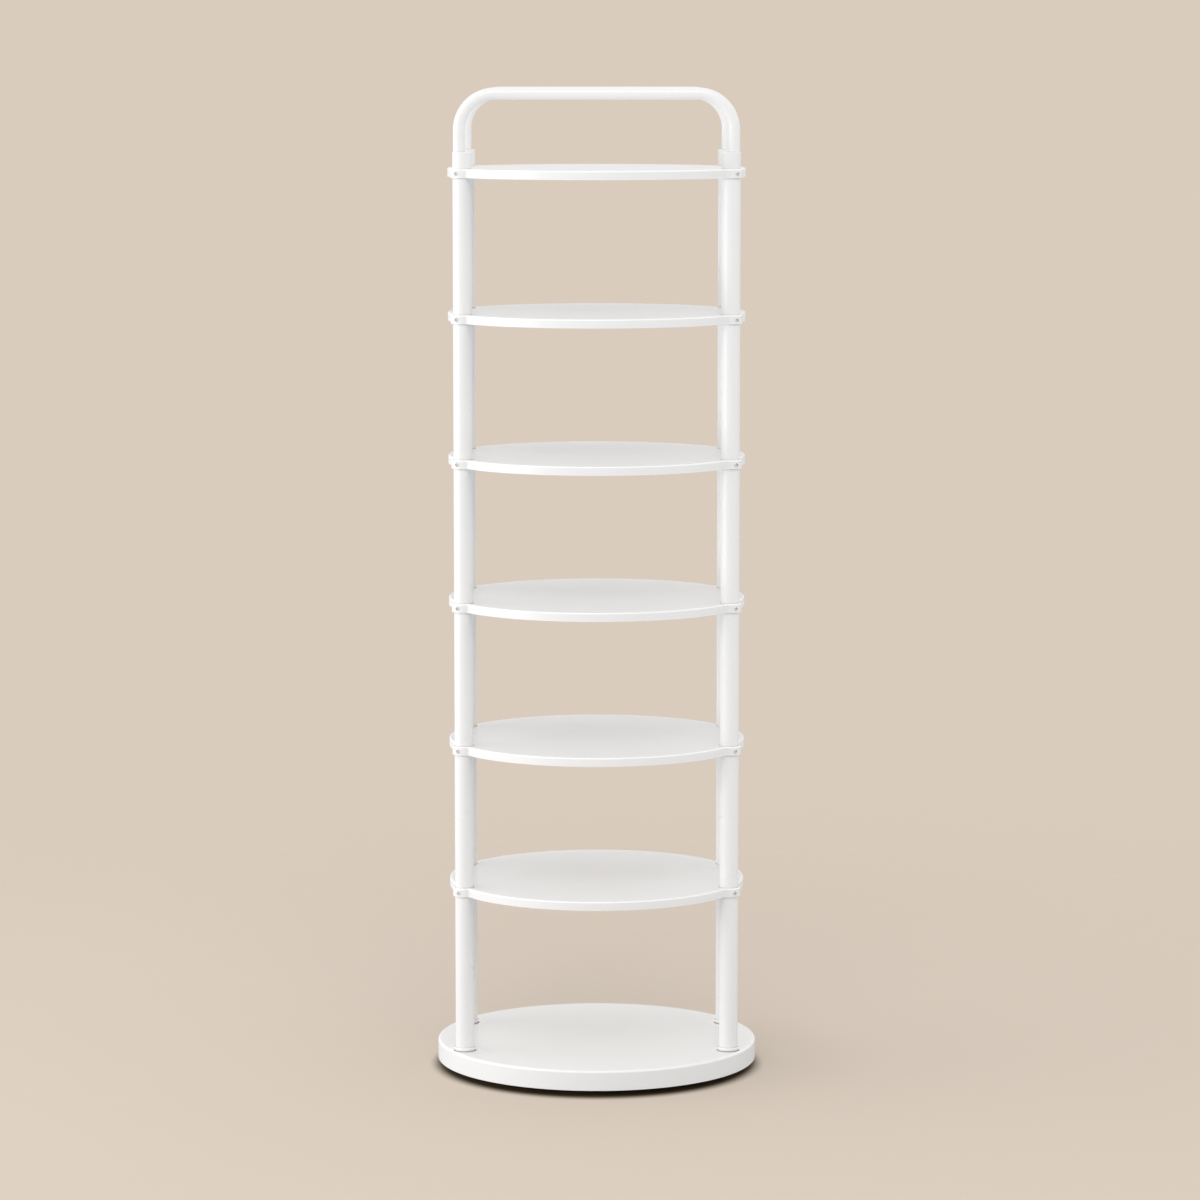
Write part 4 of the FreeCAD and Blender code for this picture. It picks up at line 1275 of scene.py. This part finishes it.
def studio_world(studio):
    """Even light from all round, in three zones by height; the camera sees the backdrop's colour in its
    place. The zones meet where the height of the direction is about 0.17 and 0.6."""
    world = bpy.data.worlds.new("studio_world")
    world.use_nodes = True
    tree = world.node_tree
    height = add(tree, "SeparateXYZ", "Z", {0: add(tree, "TexCoord", "Generated", {})})
    lower = blend(tree, ramp(tree, height, 0.12, 0.22), studio.low_fill, studio.side_fill)
    upper = blend(tree, ramp(tree, height, 0.5, 0.7), lower, studio.high_fill)
    feed(tree, tree.nodes["Background"].inputs["Color"], upper)
    by_camera = add(tree, "LightPath", "Is Camera Ray", {})
    backdrop = add(tree, "Background", "Background", {"Color": studio.backdrop})
    light = tree.nodes["Background"].outputs["Background"]
    mixed = add(tree, "MixShader", "Shader", {0: by_camera, 1: light, 2: backdrop})
    tree.links.new(mixed, tree.nodes["World Output"].inputs["Surface"])
    return world


def studio_floor(studio):
    """Round floor at height 0, of rings that grow outwards, with its faces turned up."""
    rings = np.array([0.0, 0.3, 0.6, 1.2, 2.4, studio.floor_radius])
    points, faces = sheet(polar(rings[:, None], -once_round(96)[None]), wrap_columns=True)
    mesh = bpy.data.meshes.new("studio_floor")
    mesh.from_pydata(points.tolist(), [], faces.tolist())
    work = bmesh.new()
    work.from_mesh(mesh)
    bmesh.ops.remove_doubles(work, verts=work.verts, dist=MERGE)
    work.to_mesh(mesh)
    work.free()
    mesh.materials.append(floor_material(studio))
    floor = bpy.data.objects.new("studio_floor", mesh)
    bpy.context.scene.collection.objects.link(floor)


def soft_light(name, place, width, depth, watts, aim=(0.0, 0.0, 0.7)):
    """A large light that the camera doesn't see, turned towards the middle of the rack."""
    light = bpy.data.lights.new(name, "AREA")
    light.shape = "RECTANGLE"
    light.size, light.size_y = width, depth
    light.energy = watts
    made = bpy.data.objects.new(name, light)
    bpy.context.scene.collection.objects.link(made)
    made.location = place
    made.rotation_euler = (Vector(aim) - Vector(place)).to_track_quat("-Z", "Y").to_euler()
    made.visible_camera = False
    return made


def studio_camera(studio):
    """Camera in front of the rack, tilted down and turned a little to the right."""
    camera = bpy.data.cameras.new("camera")
    camera.sensor_width = 36.0
    camera.lens = studio.lens
    made = bpy.data.objects.new("camera", camera)
    bpy.context.scene.collection.objects.link(made)
    made.location = (0.0, -studio.distance, studio.height)
    made.rotation_euler = (math.pi / 2 - studio.pitch, 0.0, -studio.yaw)
    return made


class RACK_OT_studio(Operator):
    """Pale floor, even backdrop, soft lights and the camera"""

    bl_idname = "rack.studio"
    bl_label = "Studio"

    def execute(self, context):
        scene = context.scene
        studio = scene.rack_studio
        studio_floor(studio)
        scene.world = studio_world(studio)
        soft_light("left_light", (-3.4, -1.4, 0.65), 3.0, 1.1, studio.left)
        beside = soft_light("side_light", (-3.8, 0.0, 0.65), 3.0, 1.1, studio.beside)
        beside.visible_glossy = False
        soft_light("right_light", (3.4, -1.8, 1.35), 3.0, 2.6, studio.right)
        soft_light("front_light", (0.0, -3.2, 3.7), 2.6, 1.0, studio.front)
        scene.camera = studio_camera(studio)
        scene.view_settings.view_transform = "Standard"
        return {"FINISHED"}


class RACK_PT_panel(Panel):
    """Sizes, finishes and steps of the shoe rack"""

    bl_idname = "RACK_PT_panel"
    bl_label = "Shoe rack"
    bl_space_type = "VIEW_3D"
    bl_region_type = "UI"
    bl_category = "Shoe rack"

    def draw(self, context):
        layout = self.layout
        for operator in OPERATORS:
            layout.operator(operator.bl_idname)
        for settings in SETTINGS:
            box = layout.box()
            box.label(text=settings)
            group = getattr(context.scene, settings)
            for name in group.__annotations__:
                box.prop(group, name)


SETTINGS = {
    "rack_shelf": ShelfSizes,
    "rack_base": BaseSizes,
    "rack_tube": TubeSizes,
    "rack_bow": BowSizes,
    "rack_screw": ScrewSizes,
    "rack_finish": Finishes,
    "rack_studio": Studio,
}
OPERATORS = (
    RACK_OT_shelves,
    RACK_OT_base,
    RACK_OT_posts,
    RACK_OT_sockets,
    RACK_OT_bows,
    RACK_OT_screws,
    RACK_OT_inner_parts,
    RACK_OT_studio,
)


def register():
    """Adds the settings, the operators and the panel to Blender."""
    for kind in (*SETTINGS.values(), *OPERATORS, RACK_PT_panel):
        bpy.utils.register_class(kind)
    for name, kind in SETTINGS.items():
        setattr(bpy.types.Scene, name, PointerProperty(type=kind))


def unregister():
    """Takes out what register() added."""
    for name in SETTINGS:
        delattr(bpy.types.Scene, name)
    for kind in reversed((*SETTINGS.values(), *OPERATORS, RACK_PT_panel)):
        bpy.utils.unregister_class(kind)


def main():
    """Builds the rack's surfaces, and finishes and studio."""
    register()
    bpy.ops.rack.shelves()
    bpy.ops.rack.base()
    bpy.ops.rack.posts()
    bpy.ops.rack.sockets()
    bpy.ops.rack.bows()
    bpy.ops.rack.screws()
    bpy.ops.rack.inner_parts()
    bpy.ops.rack.studio()


if __name__ == "__main__":
    main()
